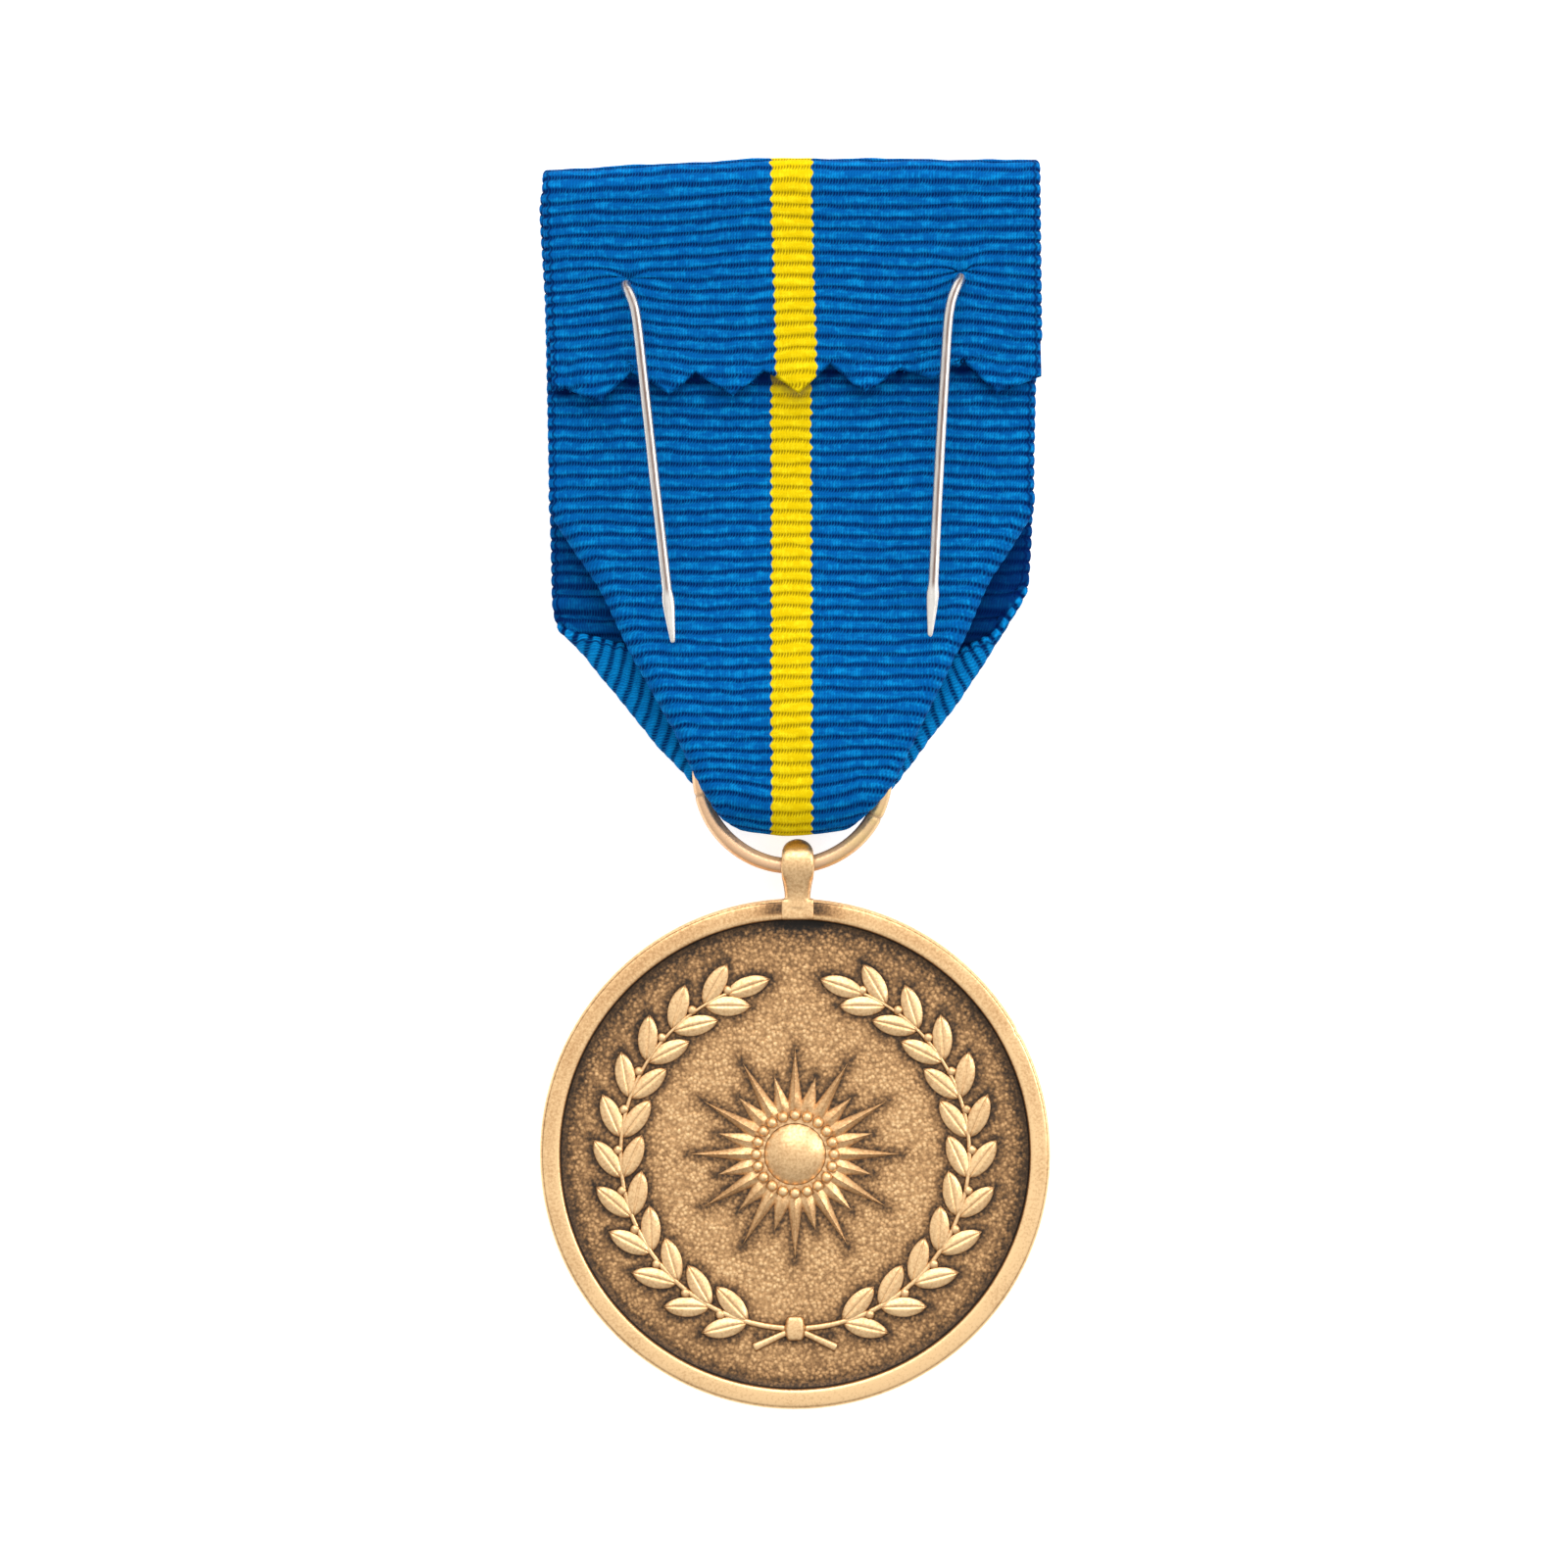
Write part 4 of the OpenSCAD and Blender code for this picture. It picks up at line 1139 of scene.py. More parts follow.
def build_bail(settings):
    """Bail: a band round the eye, a neck whose top runs down from the band and a tab on the rim, in one
    skin. It is dark inside the eye and low down, with painted shade on the sides that fall away steeply."""
    surfaces = Surfaces()
    add_band(surfaces)
    add_neck(surfaces)
    add_tab(surfaces)
    mesh = one_skin("bail", surfaces, BAIL_VOXEL, BAIL_SMOOTHING)
    points = point_vectors(mesh, "co") / MM
    inside = ease((1.22 - np.hypot(points[:, 1] - EYE_Y, points[:, 2] - EYE_Z)) / 0.2)
    low = ease((2.75 - points[:, 2]) / 0.7)
    # Painted shade on the sides that fall away steeply
    painted_side_shade = ease((0.5 - np.abs(point_vectors(mesh, "normal")[:, 2])) / 0.5)
    keep_value(mesh, "patina", np.clip(0.1 + 0.8 * inside + 0.25 * low + 0.6 * painted_side_shade, 0, 1))
    show("bail", mesh, "struck_bronze", settings, "medallion")


# Suspension ring

def build_ring(settings):
    """Torus of the ring: a round section swept round a tilted circle, with two seams of the closing cut."""
    ring_r = (settings.ring_diameter - settings.ring_wire) / MM / 2
    wire_r = settings.ring_wire / MM / 2
    steps, sides = 360, 36
    a = full_turn(steps)
    b = -full_turn(sides)
    degrees = np.degrees(a)
    draw = np.random.default_rng(SEED)
    uneven = sum(draw.normal(0, 0.012) * np.cos(k * a + draw.uniform(0, 6.3)) for k in range(2, 7))
    size = wire_r + 0.012 * np.sin(5 * a)
    for seam, depth in RING_SEAMS:
        size = size - depth * np.exp(-((degrees - seam) ** 2))
    reach = (ring_r + uneven)[:, None] + size[:, None] * np.cos(b)
    high = size[:, None] * np.sin(b)
    cos, sin = math.cos(math.radians(RING_TILT)), math.sin(math.radians(RING_TILT))
    y = reach * np.sin(a)[:, None]
    points = np.stack([reach * np.cos(a)[:, None], y * cos - high * sin, y * sin + high * cos], -1)
    points = points + np.array(RING_AT) + [0, 0, ring_r * sin]
    stain = np.where(np.cos(b) < 0, 0.85 * np.abs(np.cos(b)) ** 2.2, 0.45 * np.abs(np.cos(b)) ** 7)
    stain = (0.04 + stain)[None] * (0.8 + 0.45 * np.cos(a + math.pi / 4))[:, None]
    for seam, _ in RING_SEAMS:
        stain = stain + 0.6 * np.exp(-((degrees - seam) / 1.1) ** 2)[:, None]
    surfaces = Surfaces("patina")
    surfaces.add(points, [grid_quads(steps, sides, close_rows=True, close_cols=True)],
                 patina=np.clip(stain, 0, 1).ravel())
    piece_from("suspension_ring_wire", surfaces, "ring_copper", settings, "suspension_ring")


# Brooch pin

def build_pin(settings):
    """Bent wire with two flattened, pointed prongs: a section swept along the rounded route. The drawn
    value marks a painted reflection, a brown line along the upper side of the prongs."""
    wire_r = settings.pin_wire / MM / 2
    sides = 28
    line, at = even_line(rounded_line(PRONG_LEFT + PRONG_RIGHT, 1.2, 14), 0.07)
    from_end = np.minimum(at, at[-1] - at)
    wide = np.interp(from_end, [0, 0.06, 0.18, 0.4, 1.3, 2.3, 2.9, 3.2, 3.8],
                     [0.07, 0.14, 0.18, 0.21, 0.31, 0.405, 0.445, 0.43, wire_r])
    high = np.interp(from_end, [0, 0.1, 0.5, 2.2, 3.9], [0.06, 0.12, 0.17, 0.25, wire_r])
    line = line + np.stack([0.05 * np.sin(at / 6), np.zeros(len(at)), 0.02 * np.sin(at / 4)], -1)
    points, faces = swept_tube(line, wide, high, sides)
    # Painted reflection: a line along the top of the wire, away from the prongs' flattened ends
    from_top = full_turn(sides) - math.pi / 2
    upper = np.exp(-((np.arctan2(np.sin(from_top), np.cos(from_top)) / 0.34) ** 2))
    drawn = ease((from_end - 3.1) / 0.8)[:, None] * upper[None]
    surfaces = Surfaces("drawn")
    surfaces.add(points, faces, drawn=np.append(drawn, [0, 0]))
    piece_from("brooch_pin_wire", surfaces, "pin_steel", settings, "brooch_pin")


# Ribbon

class RibbonPath:
    """Middle line of the cloth seen from the side, from its hidden end, down, round the loop, up and over
    the roll."""

    def __init__(self):
        back_y = np.linspace(BACK_END_Y, LOOP_Y, 700)
        back = np.stack([back_y, soft_read(BACK_LEVELS, back_y, 2.2)], -1)
        a = np.linspace(0.5, 1.5, 160)[1:-1] * math.pi
        loop = np.stack([LOOP_Y + LOOP_R * np.cos(a), FRONT_Z + LOOP_R + LOOP_R * np.sin(a)], -1)
        front = np.stack([np.linspace(LOOP_Y, ROLL_Y, 500), np.full(500, FRONT_Z)], -1)
        a = np.linspace(-0.5, 0.5, 120)[1:-1] * math.pi
        roll = np.stack([ROLL_Y + ROLL_R * np.cos(a), FRONT_Z + ROLL_R + ROLL_R * np.sin(a)], -1)
        tail = np.stack([np.linspace(ROLL_Y, TAIL_END_Y - 4, 300), np.full(300, FLAP_Z)], -1)
        self.line = np.concatenate([back, loop, front, roll, tail])
        self.v = running_length(self.line)
        along = unit_rows(np.gradient(self.line, self.v, axis=0))
        self.inward = np.stack([-along[:, 1], along[:, 0]], -1)
        self.loop_start = self.v[len(back) - 1]
        self.loop_end = self.loop_start + math.pi * LOOP_R
        self.roll_start = self.loop_end + ROLL_Y - LOOP_Y
        self.roll_end = self.roll_start + math.pi * ROLL_R

    def at(self, v):
        """y, z of the line and y, z of its inward normal at each length."""
        y = np.interp(v, self.v, self.line[:, 0])
        z = np.interp(v, self.v, self.line[:, 1])
        ny = np.interp(v, self.v, self.inward[:, 0])
        nz = np.interp(v, self.v, self.inward[:, 1])
        size = np.maximum(np.hypot(ny, nz), 1e-9)
        return y, z, ny / size, nz / size

    def place(self, v, part):
        """Place along a layer: y where the layer lies flat, and past the loop's start the length inside the
        loop."""
        if part == "front":
            return LOOP_Y + (v - self.loop_end)
        y = np.interp(v, self.v, self.line[:, 0])
        return y if part == "tail" else np.where(v < self.loop_start, y, LOOP_Y - (v - self.loop_start))

    def flap_length(self, y):
        """Length at which the flap has come down to a y."""
        return self.roll_end + (ROLL_Y - y)


def fold(x, v, edge, lean, sign, to_v):
    """Cloth past a slanting fold line wraps round it and lies back: the distance past the line becomes r
    sin(d / r) up to half a turn, and then runs back. Gives x, length along the layer, and depth."""
    a = np.maximum(sign * x - edge, 0)
    d = a * np.cos(lean)
    along = a * np.sin(lean)
    turned = math.pi * BEND_R
    out = np.where(d < turned, BEND_R * np.sin(d / BEND_R), -(d - turned))
    depth = np.where(d < turned, BEND_R * (1 - np.cos(np.minimum(d, turned) / BEND_R)), 2 * BEND_R)
    new_x = sign * (edge + along * np.sin(lean) + out * np.cos(lean))
    new_v = v + to_v * (along * np.cos(lean) - out * np.sin(lean))
    past = a > 0
    return np.where(past, new_x, x), np.where(past, new_v, v), np.where(past, depth, 0)


def fold_both(x, v, edges, leans, to_v):
    """Both sides of a layer folded: every point takes the fold of its own side."""
    left = fold(x, v, edges[0][:, None], leans[0][:, None], -1, to_v)
    right = fold(x, v, edges[1][:, None], leans[1][:, None], 1, to_v)
    return [np.where(x > 0, to_right, to_left) for to_left, to_right in zip(left, right)]


def fold_lines(part, place):
    """Left and right fold of each row: how far from the middle line the cloth starts to turn, so that its
    outside reaches the edge seen in the table, and the lean of that edge. Also the most cloth turned in
    past the fold. The tail isn't folded, so its folds lie far outside it."""
    _, edge_tables, tucks = LAYERS[part]
    if not edge_tables:
        far = np.full(len(place), 60.0)
        return (far, far), (0 * far, 0 * far), far
    edges, leans = [], []
    for table in edge_tables:
        slope = (soft_read(table, place + 0.4, 1.6) - soft_read(table, place - 0.4, 1.6)) / 0.8
        lean = np.arctan(slope)
        edges.append(soft_read(table, place, 1.1) - (BEND_R + CLOTH_T / 2) / np.cos(lean))
        leans.append(lean)
    return edges, leans, soft_read(tucks, place, 1.5)


def layer_columns(low, high, edges, leans):
    """Cloth x of every column of each row: tuck, curl, flat part, curl and tuck, never closer than a small
    step."""
    turned = math.pi * BEND_R
    curl_right = np.minimum(edges[1] + turned / np.cos(leans[1]), high - 0.5)
    flat_right = np.minimum(edges[1], curl_right - 0.4)
    curl_left = np.maximum(-edges[0] - turned / np.cos(leans[0]), low + 0.5)
    flat_left = np.maximum(-edges[0], curl_left + 0.4)
    t_tuck = 1 - (1 - np.linspace(0, 1, TUCK_COLUMNS + 1)) ** 1.7
    t_curl = np.linspace(0, 1, CURL_COLUMNS + 1)
    t_flat = np.linspace(0, 1, FLAT_COLUMNS + 1)
    return np.concatenate([
        low[:, None] + (curl_left - low)[:, None] * (1 - t_tuck[::-1])[None],
        curl_left[:, None] + (flat_left - curl_left)[:, None] * t_curl[None, 1:],
        flat_left[:, None] + (flat_right - flat_left)[:, None] * t_flat[None, 1:],
        flat_right[:, None] + (curl_right - flat_right)[:, None] * t_curl[None, 1:],
        curl_right[:, None] + (high - curl_right)[:, None] * t_tuck[None, 1:],
    ], 1)


def rib_rows(v_low, v_high, pitch):
    """Lengths at which rows are laid: the groove and five places over each cord."""
    marks = np.array([0, 0.1, 0.28, 0.5, 0.72, 0.9])
    first, last = int(round(v_low / pitch)), int(round(v_high / pitch))
    rows = (np.arange(first, last)[:, None] + marks[None]).ravel() * pitch
    return np.append(rows, last * pitch)


def cord_height(v, pitch):
    """0 in the groove between two cords and 1 on a cord's crest."""
    return np.abs(np.sin(math.pi * v / pitch)) ** 0.6


def pinked(path, x, v, rows_v):
    """The tail's last rows run down to a zigzag line: their lengths are spread between a straight row and
    the line."""
    corners = np.array(PINKED)
    keep = rows_v < path.flap_length(PINK_START_Y)
    kept_x, kept_v = x[keep], v[keep]
    last_x, last_v = kept_x[-1], kept_v[-1]
    numbers = np.arange(len(corners))
    steps = np.interp(np.linspace(0, len(corners) - 1, len(last_x)), numbers, corners[:, 0])
    share = np.linspace(0, 1, 44)[1:, None]
    ends = path.flap_length(np.interp(steps, corners[:, 0], corners[:, 1]))
    slide = ease(share)
    new_x = last_x[None] * (1 - slide) + steps[None] * slide
    new_v = last_v[None] + (ends - last_v)[None] * share
    return np.concatenate([kept_x, new_x]), np.concatenate([kept_v, new_v])


def waviness(x, y, seed, size, spacing):
    """Slow uneven waves: a sum of sines whose directions, lengths and starts are drawn once."""
    draw = np.random.default_rng(seed)
    waves = 7
    total = 0.0
    for _ in range(waves):
        turn = draw.uniform(0, 2 * math.pi)
        length = spacing * draw.uniform(0.6, 1.8)
        total = total + np.sin(2 * math.pi * (x * math.cos(turn) + y * math.sin(turn)) / length
                               + draw.uniform(0, 2 * math.pi))
    return total * size / math.sqrt(waves)


def hill(gap, width):
    """Bell curve: 1 where the gap is nothing, falling off with its square."""
    return np.exp(-((gap / width) ** 2))


def slacken_back(out, x, y, flat):
    """Back layer: slow waves, a hollow under each prong, and two long creases."""
    out[..., 2] += waviness(x, y * 0.3, 5, 0.07, 9) * flat
    out[..., 1] += waviness(x, y * 0.4, 6, 0.11, 13)
    for at, slope in PRONG_HOLLOWS:
        press = hill(x - (at + slope * (HOLLOW_Y - y)), 1.5) * ease((31 - y) / 6) * ease((y - 8) / 5)
        out[..., 2] -= 0.16 * press
    for at, low, high in CREASES:
        out[..., 2] -= 0.14 * (hill(x - at, 0.4) * ease((high - y) / 3) * ease((y - low) / 4))
        out[..., 1] += 0.22 * hill(x - at - 1, 3) * ease((high - y) / 3) * ease((y - low) / 4)


def slacken_front(out, x, y, flat):
    """Front layer: slow waves, and puckers at its outer corners where the sides are folded in."""
    out[..., 1] += waviness(x, y * 0.4, 8, 0.08, 12) * ease((y + 2) / 6)
    out[..., 2] += np.abs(waviness(x, y * 0.5, 9, 0.05, 8)) * flat * ease((y + 2) / 5)
    pucker = hill(y - 12.3, 1.7) * ease((np.abs(x) - 10.5) / 2) * flat
    out[..., 2] += 0.2 * pucker * (1 + np.cos(2 * math.pi * (y - 0.05 * np.abs(x)) / 1.69))


def slacken_tail(out, x, y):
    """Tail: slow waves, a dimple, a pinch and a drag of the cords at each of the pin's holes, and a wavy
    free end that never sinks into the cloth below."""
    out[..., 1] += waviness(x, y * 0.4, 12, 0.12, 11) * ease((ROLL_Y + 1 - y) / 4)
    out[..., 2] += waviness(x, y * 0.4, 13, 0.07, 8) * ease((ROLL_Y - y) / 4)
    for hole_x, hole_y, lean in PIN_HOLES:
        dimple = hill(np.hypot(x - hole_x, (y - hole_y) * 0.8), 0.9)
        hole = hill(np.hypot(x - hole_x - 0.1, (y - hole_y - 0.55) * 0.7), 0.4)
        out[..., 2] -= 0.3 * dimple + 0.35 * hole
        rise = y - hole_y - 0.7
        aside = x - hole_x - lean * (hole_y - y)
        pinch = -0.42 * rise * np.exp(-((aside / 1.3) ** 2) - (rise / 1.6) ** 2)
        drag = 0.34 * hill(aside, 2.8) * ease((0.9 - rise) / 1.6)
        out[..., 1] += pinch + drag
    curl = ease((30.4 - y) / 2.6)
    out[..., 2] += curl * (0.1 + 0.16 * np.sin(x * 1.3 + 1) + 0.14 * np.sin(x * 2.9))
    out[..., 2] = np.where(y < FLAP_LIES_Y, np.maximum(out[..., 2], FLAP_Z - 0.03), out[..., 2])


def settle(part, surface, u, v, depth):
    """Slack of the cloth: the waves and dimples of its layer, and cords that each run a little uneven, as a
    sum of three sines along the cord whose starts are drawn for every cord."""
    x, y = surface[..., 0], surface[..., 1]
    out = surface.copy()
    flat = ease(1 - depth / 0.3)
    if part == "back":
        slacken_back(out, x, y, flat)
    elif part == "front":
        slacken_front(out, x, y, flat)
    else:
        slacken_tail(out, x, y)
    draw = np.random.default_rng(SEED + len(part))
    cords = 512
    cord = np.round(v * 1.18).astype(int) % cords
    start = draw.uniform(0, 2 * math.pi, (cords, 3))
    for k, (length, size) in enumerate(((9.0, 0.036), (4.2, 0.024), (2.1, 0.014))):
        out[..., 1] += size * np.sin(2 * math.pi * u / length + start[cord, k])
    return out


def edge_shadow(x, y):
    """Shade of the pinked edge on the cloth below it: a thin line along the edge, and deep at the top of
    each notch, where it falls off with the square of the distance."""
    corners = np.array(PINKED)
    below = np.interp(x, corners[:, 0], corners[:, 1]) - y
    shade = np.where(below > -1.5, 0.42 * np.exp(-np.maximum(below, 0) / 0.3), 0)
    for before, (top_x, top_y), after in zip(corners[:-2], corners[1:-1], corners[2:]):
        if top_y > max(before[1], after[1]):
            deep = np.exp(-((x - top_x) / 0.8) ** 2 - ((y - top_y + 0.4) / 0.5) ** 2)
            shade = np.maximum(shade, 1.25 * deep)
    return np.minimum(shade, 1)


def add_frays(surfaces, upper, lower, uv):
    """Cut ends of threads at the pinked edge: short thin tubes that start inside the cloth and lean at
    random."""
    draw = np.random.default_rng(SEED + 40)
    thick = np.full(5, 0.05)
    for k in range(4, len(upper) - 4, 2):
        share = draw.uniform(0.15, 0.85)
        start = upper[k] * share + lower[k] * (1 - share)
        lean = np.array([draw.normal(0, 0.45), -1.0, draw.normal(0.1, 0.3)])
        long = draw.uniform(0.05, 0.16)
        t = np.linspace(-0.9, 1, 5)[:, None]
        line = start + lean * t * long + np.array([draw.normal(0, 0.05), 0, 0.0]) * t**2
        points, faces = swept_tube(line, thick, thick, 5)
        count = len(points)
        # The cut threads carry painted shade
        surfaces.add(points, faces, cloth=np.repeat(uv[k:k + 1], count, 0), dusk=np.full(count, 0.35),
                     lit=np.zeros(count))


def cut_cloth(settings, path, part, v_low, v_high):
    """One length of the ribbon laid out flat. Gives x and v of its grid, the low and high side of each row,
    the folds' edges and leans, and its place on the whole ribbon: across and along, in millimetres."""
    selvages = LAYERS[part][0]
    pitch = settings.rib_pitch / MM
    rows_v = rib_rows(v_low, v_high, pitch)
    place = path.place(rows_v, part)
    left = soft_read(selvages, place, 0.9, 1)
    right = soft_read(selvages, place, 0.9, 2)
    scallop = 0.13 * (cord_height(rows_v, pitch) - 0.5)
    edges, leans, tuck = fold_lines(part, place)
    high = np.minimum(right, np.maximum(edges[1] + tuck / np.cos(leans[1]), 0)) + scallop
    low = np.maximum(left, -edges[0] - tuck / np.cos(leans[0])) - scallop
    x = layer_columns(low, high, edges, leans)
    v = np.broadcast_to(rows_v[:, None], x.shape).copy()
    if part == "tail":
        x, v = pinked(path, x, v, rows_v)
        last = np.sum(rows_v < path.flap_length(PINK_START_Y)) - 1
        same = np.minimum(np.arange(len(x)), last)
        left, right, low, high, place = (rows[same] for rows in (left, right, low, high, place))
    middle = (soft_read(selvages, place, 4.5, 1) + soft_read(selvages, place, 4.5, 2)) / 2
    half = (right - left) / 2
    across = (x - middle[:, None]) / half[:, None] * settings.ribbon_width / MM / 2
    return x, v, low, high, edges, leans, across


def folded_surface(path, part, x, v, edges, leans):
    """Middle surface of a layer before it settles: the flat cloth folded at its sides and bent along the
    ribbon's path. Gives its points, how deep each lies past a fold, and which way is out of the path there,
    as y and z."""
    depth = np.zeros_like(x)
    along = v
    if part != "tail":
        x, along, depth = fold_both(x, v, edges, leans, -1 if part == "back" else 1)
    y, z, ny, nz = path.at(along)
    side_y, side_z = y + ny * depth, z + nz * depth
    if part != "tail":
        in_loop = np.clip(1 - (y - LOOP_Y) / 3.4, 0, 1)
        side_y = side_y + 0.55 * in_loop * np.clip(np.abs(x) / 4.6, 0, 1.0) ** 2
    if part != "back":
        droop = 0.83 * np.clip((-1.8 - x) / 15.8, 0, 1) + 0.13 * np.clip((x - 2) / 15, 0, 1)
        side_y = side_y - ease((side_y - 28) / 15) * droop
    return np.stack([x, side_y, side_z], -1), depth, np.stack([-ny, -nz], -1)


def outward_normals(surface, depth, out):
    """Normals of a grid, all on the side that is out of the ribbon's path where the cloth isn't folded
    over, and whether that turned them round."""
    normal = unit_rows(np.cross(np.gradient(surface, axis=1), np.gradient(surface, axis=0)))
    turned = np.sum(normal[..., 1:] * out * (1 - depth / BEND_R)[..., None]) < 0
    return (-normal if turned else normal), turned


def shell_faces(rows, cols, turned):
    """Faces of a shell of two skins, the second numbered after the first: both grids and the walls round
    them."""
    count = rows * cols
    skin = grid_quads(rows, cols)
    ring = grid_border(rows, cols)
    after = np.roll(ring, -1)
    wall = np.stack([ring, ring + count, after + count, after], -1)
    if turned:
        skin, wall = skin[:, ::-1], wall[:, ::-1]
    return [skin, skin[:, ::-1] + count, wall]


def ribbon_layer(settings, path, part, v_low, v_high):
    """One length of the ribbon: a middle surface, two skins offset from it by half the cloth, which is
    thinner in the grooves and rounded off at the border, and walls round the border."""
    x, v, low, high, edges, leans, across = cut_cloth(settings, path, part, v_low, v_high)
    folded, depth, out = folded_surface(path, part, x, v, edges, leans)
    surface = settle(part, folded, across, v, depth)
    normal, turned = outward_normals(surface, depth, out)
    border = np.minimum(x - low[:, None], high[:, None] - x)
    if part == "tail":
        border = np.minimum(border, (v[-1:] - v) * 1.6)
    rounding = np.sqrt(np.clip(1 - (1 - np.clip(border / 0.34, 0, 1)) ** 2, 0.02, 1))
    groove = 1 - cord_height(v, settings.rib_pitch / MM)
    half_t = (CLOTH_T / 2 - GROOVE_DEPTH * (1 - 0.5 * ease(depth / 0.3)) * groove) * rounding
    outer = surface + normal * half_t[..., None]
    inner = surface - normal * half_t[..., None]
    along = -v if part == "front" else v
    uv = np.stack([across * UV_SCALE + UV_MIDDLE, along * UV_SCALE + UV_START], -1)
    seen_x, seen_y = folded[..., 0], folded[..., 1]
    over, under, lit = np.zeros((3,) + x.shape)
    if part == "front":
        # Painted shade on the front layer's inner face where it lies under the back layer, deeper on the
        # right
        under = ease((21 - seen_y) / 5) * np.where(seen_x > 0, 0.82, 0.42)
        # Painted light on the front layer where it is turned past its folds
        lit = ease((depth - 0.3) / 0.4)
    elif part == "back":
        # Painted shadow of the tail's pinked edge on the back layer's outer face
        over = edge_shadow(seen_x, seen_y)
    surfaces = Surfaces("cloth", "dusk", "lit")
    surfaces.add(np.stack([outer, inner]), shell_faces(*x.shape, turned),
                 cloth=np.stack([uv, uv]).reshape(-1, 2), dusk=np.append(over, under),
                 lit=np.append(lit, 0 * lit))
    if part == "tail":
        add_frays(surfaces, outer[-1], inner[-1], uv[-1])
    piece = piece_from("ribbon_" + part, surfaces, "corded_silk", settings, "ribbon")


def build_ribbon(settings):
    """The folded ribbon in three lengths that meet in grooves between cords: back layer, front layer and
    tail."""
    path = RibbonPath()
    pitch = settings.rib_pitch / MM
    bottom = round((path.loop_start + math.pi * LOOP_R * 0.5) / pitch) * pitch
    over = round((path.roll_start + math.pi * ROLL_R * 0.2) / pitch) * pitch
    end = path.roll_end + ROLL_Y - TAIL_END_Y
    ribbon_layer(settings, path, "back", 0.0, bottom)
    ribbon_layer(settings, path, "front", bottom, over)
    ribbon_layer(settings, path, "tail", over, end)


# Stage

def build_floor(settings):
    """Pale floor, far wider than the picture, at the height that the medal lies on."""
    mesh = bpy.data.meshes.new("floor")
    half = FLOOR_WIDTH / 2
    corners = [(-half, -half, 0), (half, -half, 0), (half, half, 0), (-half, half, 0)]
    mesh.from_pydata(corners, [], [(0, 1, 2, 3)])
    floor = bpy.data.objects.new("floor", mesh)
    bpy.context.scene.collection.objects.link(floor)
    mesh.materials.append(material_of("pale_floor", settings))


def build_sky(settings):
    """Even light from all round, stronger from above and from the top of the picture."""
    world = bpy.data.worlds.new("studio")
    bpy.context.scene.world = world
    world.use_nodes = True
    tree = world.node_tree
    heading = put(tree, "ShaderNodeSeparateXYZ", {0: put(tree, "ShaderNodeTexCoord").outputs["Generated"]})
    high = scaled(tree, heading.outputs[2], 0.34, 0.66)
    bright = calc(tree, "MAXIMUM", scaled(tree, heading.outputs[1], 0.36, high), 0.1)
    feed(tree, tree.nodes["Background"], {
        "Color": (1.0, 0.995, 0.985, 1),
        "Strength": times(tree, bright, settings.fill_strength),
    })


def build_lights(settings):
    """Soft square lights that look at the middle of the medal: one from the top of the picture, a weaker
    one from its right."""
    for name, at, width, power in (("key_light", (0.0, 0.45, 0.42), 0.5, settings.key_power),
                                   ("side_light", (0.45, 0.15, 0.3), 0.25, settings.key_power * 0.5)):
        lamp = bpy.data.lights.new(name, "AREA")
        lamp.shape = "SQUARE"
        lamp.size = width
        lamp.energy = power
        light = bpy.data.objects.new(name, lamp)
        light.location = at
        light.rotation_mode = "QUATERNION"
        light.rotation_quaternion = (-Vector(at)).to_track_quat("-Z", "Y")
        bpy.context.scene.collection.objects.link(light)


def build_camera(settings):
    """Camera straight above, as far away as it takes to see the picture's width at the height of the disc's
    face."""
    scene = bpy.context.scene
    camera = bpy.data.cameras.new("camera")
    camera.lens = 150
    camera.sensor_width = 36
    camera.clip_start = 0.01
    camera.clip_end = 20
    camera.dof.use_dof = False
    holder = bpy.data.objects.new("camera", camera)
    distance = settings.picture_width * camera.lens / camera.sensor_width
    holder.location = (*PICTURE_MIDDLE, DISC_H * MM + distance)
    scene.collection.objects.link(holder)
    scene.camera = holder
    scene.view_settings.view_transform = "Standard"
    scene.view_settings.look = "None"


# Add-on

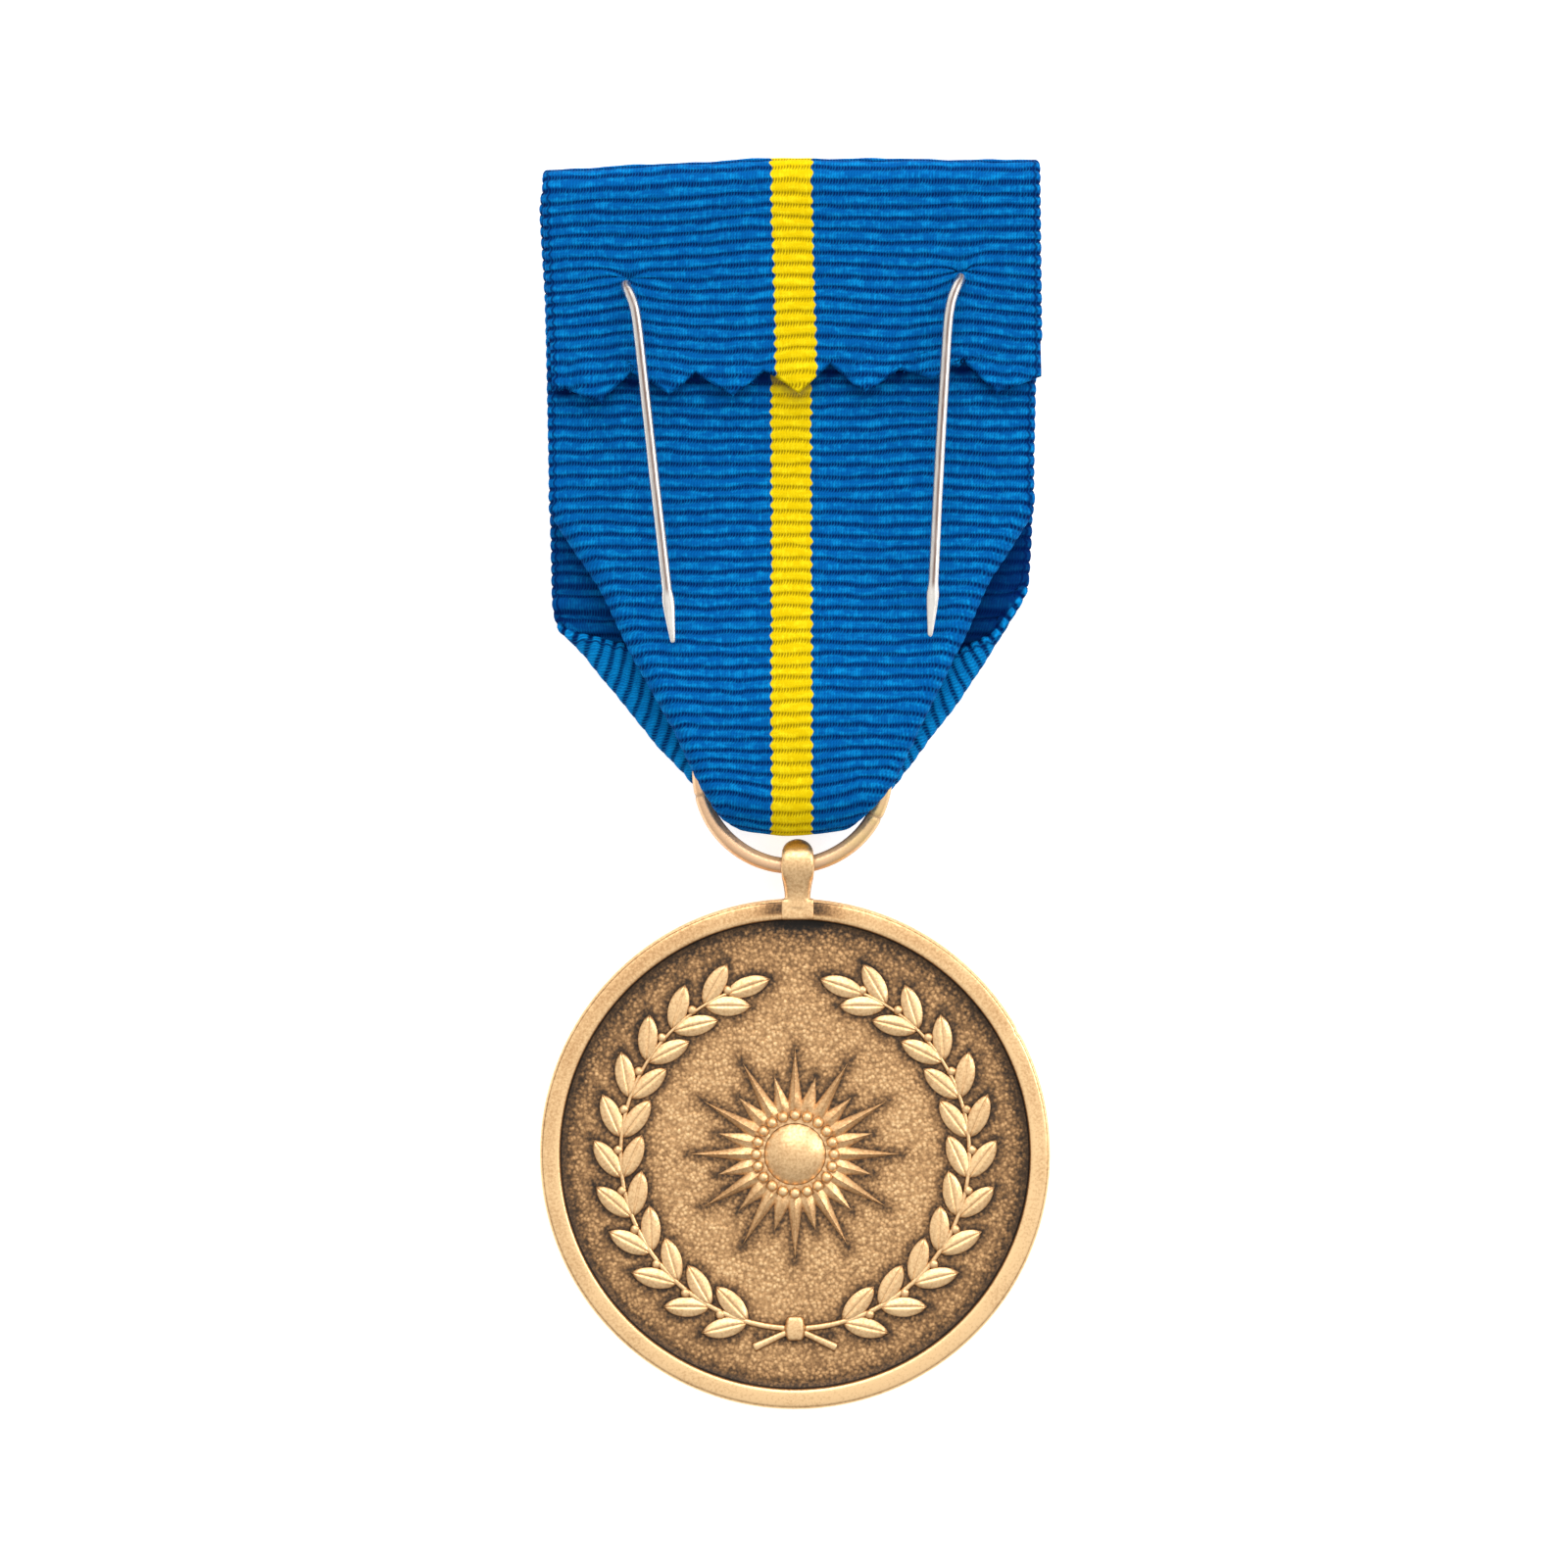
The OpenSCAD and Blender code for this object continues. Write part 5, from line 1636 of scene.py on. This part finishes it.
class MedalSettings(bpy.types.PropertyGroup):
    """Sizes and colours of the medal and its stage."""

    disc_diameter: bpy.props.FloatProperty(
        name="Medallion diameter", description="Diameter of the bronze disc",
        default=0.036, min=0.034, max=0.038, unit="LENGTH")
    rim_width: bpy.props.FloatProperty(
        name="Rim width", description="Width of the flat rim round the field",
        default=0.00155, min=0.001, max=0.002, unit="LENGTH")
    leaf_pairs: bpy.props.IntProperty(
        name="Leaf pairs", description="Pairs of laurel leaves on each branch",
        default=11, min=8, max=12)
    ray_count: bpy.props.IntProperty(
        name="Long rays", description="Number of long rays of the sunburst",
        default=12, min=8, max=16)
    ring_diameter: bpy.props.FloatProperty(
        name="Ring diameter", description="Outer diameter of the suspension ring",
        default=0.01415, min=0.014, max=0.0142, unit="LENGTH")
    ring_wire: bpy.props.FloatProperty(
        name="Ring wire", description="Diameter of the ring's wire",
        default=0.00114, min=0.001, max=0.00116, unit="LENGTH")
    pin_wire: bpy.props.FloatProperty(
        name="Pin wire", description="Diameter of the brooch pin's wire",
        default=0.00072, min=0.0007, max=0.00082, unit="LENGTH")
    ribbon_width: bpy.props.FloatProperty(
        name="Ribbon width", description="Width of the ribbon before it is folded",
        default=0.0352, min=0.034, max=0.036, unit="LENGTH")
    rib_pitch: bpy.props.FloatProperty(
        name="Cord spacing", description="Distance from one cord of the weave to the next",
        default=0.000845, min=0.0007, max=0.001, unit="LENGTH")
    stripe_width: bpy.props.FloatProperty(
        name="Stripe width", description="Width of the yellow stripe",
        default=0.00288, min=0.002, max=0.004, unit="LENGTH")
    ribbon_colour: bpy.props.FloatVectorProperty(
        name="Ribbon", description="Blue of the ribbon",
        default=(0.0007, 0.114, 0.41), subtype="COLOR", size=3)
    stripe_colour: bpy.props.FloatVectorProperty(
        name="Stripe", description="Yellow of the stripe",
        default=(0.75, 0.53, 0.002), subtype="COLOR", size=3)
    bronze_colour: bpy.props.FloatVectorProperty(
        name="Bronze", description="Bronze where it is rubbed bright",
        default=(0.99, 0.67, 0.35), subtype="COLOR", size=3)
    ring_colour: bpy.props.FloatVectorProperty(
        name="Ring", description="Pinkish bronze of the ring",
        default=(0.93, 0.6, 0.36), subtype="COLOR", size=3)
    steel_colour: bpy.props.FloatVectorProperty(
        name="Pin", description="Steel of the brooch pin",
        default=(0.86, 0.82, 0.77), subtype="COLOR", size=3)
    key_power: bpy.props.FloatProperty(
        name="Key light", description="Power of the soft key light",
        default=1.6, min=0, max=20, unit="POWER")
    fill_strength: bpy.props.FloatProperty(
        name="Fill", description="Strength of the even light from all round",
        default=1.03, min=0, max=3)
    picture_width: bpy.props.FloatProperty(
        name="Picture width", description="Width that the camera takes in at the medal",
        default=0.11045, min=0.05, max=0.3, unit="LENGTH")


class MEDAL_OT_stage(bpy.types.Operator):
    """Make the floor, the lights and the camera"""

    bl_idname = "medal.stage"
    bl_label = "Stage"

    def execute(self, context):
        settings = context.scene.medal
        build_floor(settings)
        build_sky(settings)
        build_lights(settings)
        build_camera(settings)
        return {"FINISHED"}


class MEDAL_OT_medallion(bpy.types.Operator):
    """Make the bronze disc, its relief and its bail"""

    bl_idname = "medal.medallion"
    bl_label = "Medallion"

    def execute(self, context):
        settings = context.scene.medal
        build_disc(settings)
        build_relief(settings)
        build_bail(settings)
        return {"FINISHED"}


class MEDAL_OT_ring(bpy.types.Operator):
    """Make the suspension ring"""

    bl_idname = "medal.ring"
    bl_label = "Suspension ring"

    def execute(self, context):
        build_ring(context.scene.medal)
        return {"FINISHED"}


class MEDAL_OT_ribbon(bpy.types.Operator):
    """Make the folded ribbon"""

    bl_idname = "medal.ribbon"
    bl_label = "Ribbon"

    def execute(self, context):
        build_ribbon(context.scene.medal)
        return {"FINISHED"}


class MEDAL_OT_pin(bpy.types.Operator):
    """Make the brooch pin"""

    bl_idname = "medal.pin"
    bl_label = "Brooch pin"

    def execute(self, context):
        build_pin(context.scene.medal)
        return {"FINISHED"}


class MEDAL_PT_panel(bpy.types.Panel):
    """Lists the medal's pieces and sizes in the sidebar"""

    bl_label = "Military medal"
    bl_space_type = "VIEW_3D"
    bl_region_type = "UI"
    bl_category = "Medal"

    def draw(self, context):
        for operator in OPERATORS:
            self.layout.operator(operator.bl_idname)
        for name in MedalSettings.__annotations__:
            self.layout.prop(context.scene.medal, name)


OPERATORS = (MEDAL_OT_stage, MEDAL_OT_medallion, MEDAL_OT_ring, MEDAL_OT_ribbon, MEDAL_OT_pin)
CLASSES = (MedalSettings,) + OPERATORS + (MEDAL_PT_panel,)


def register():
    """Makes the classes and the medal's settings known to Blender."""
    for kind in CLASSES:
        bpy.utils.register_class(kind)
    bpy.types.Scene.medal = bpy.props.PointerProperty(type=MedalSettings)


def unregister():
    """Takes the settings and the classes out again."""
    del bpy.types.Scene.medal
    for kind in reversed(CLASSES):
        bpy.utils.unregister_class(kind)


def main():
    """Makes the stage and all pieces."""
    register()
    bpy.ops.medal.stage()
    bpy.ops.medal.medallion()
    bpy.ops.medal.ring()
    bpy.ops.medal.ribbon()
    bpy.ops.medal.pin()


if __name__ == "__main__":
    main()
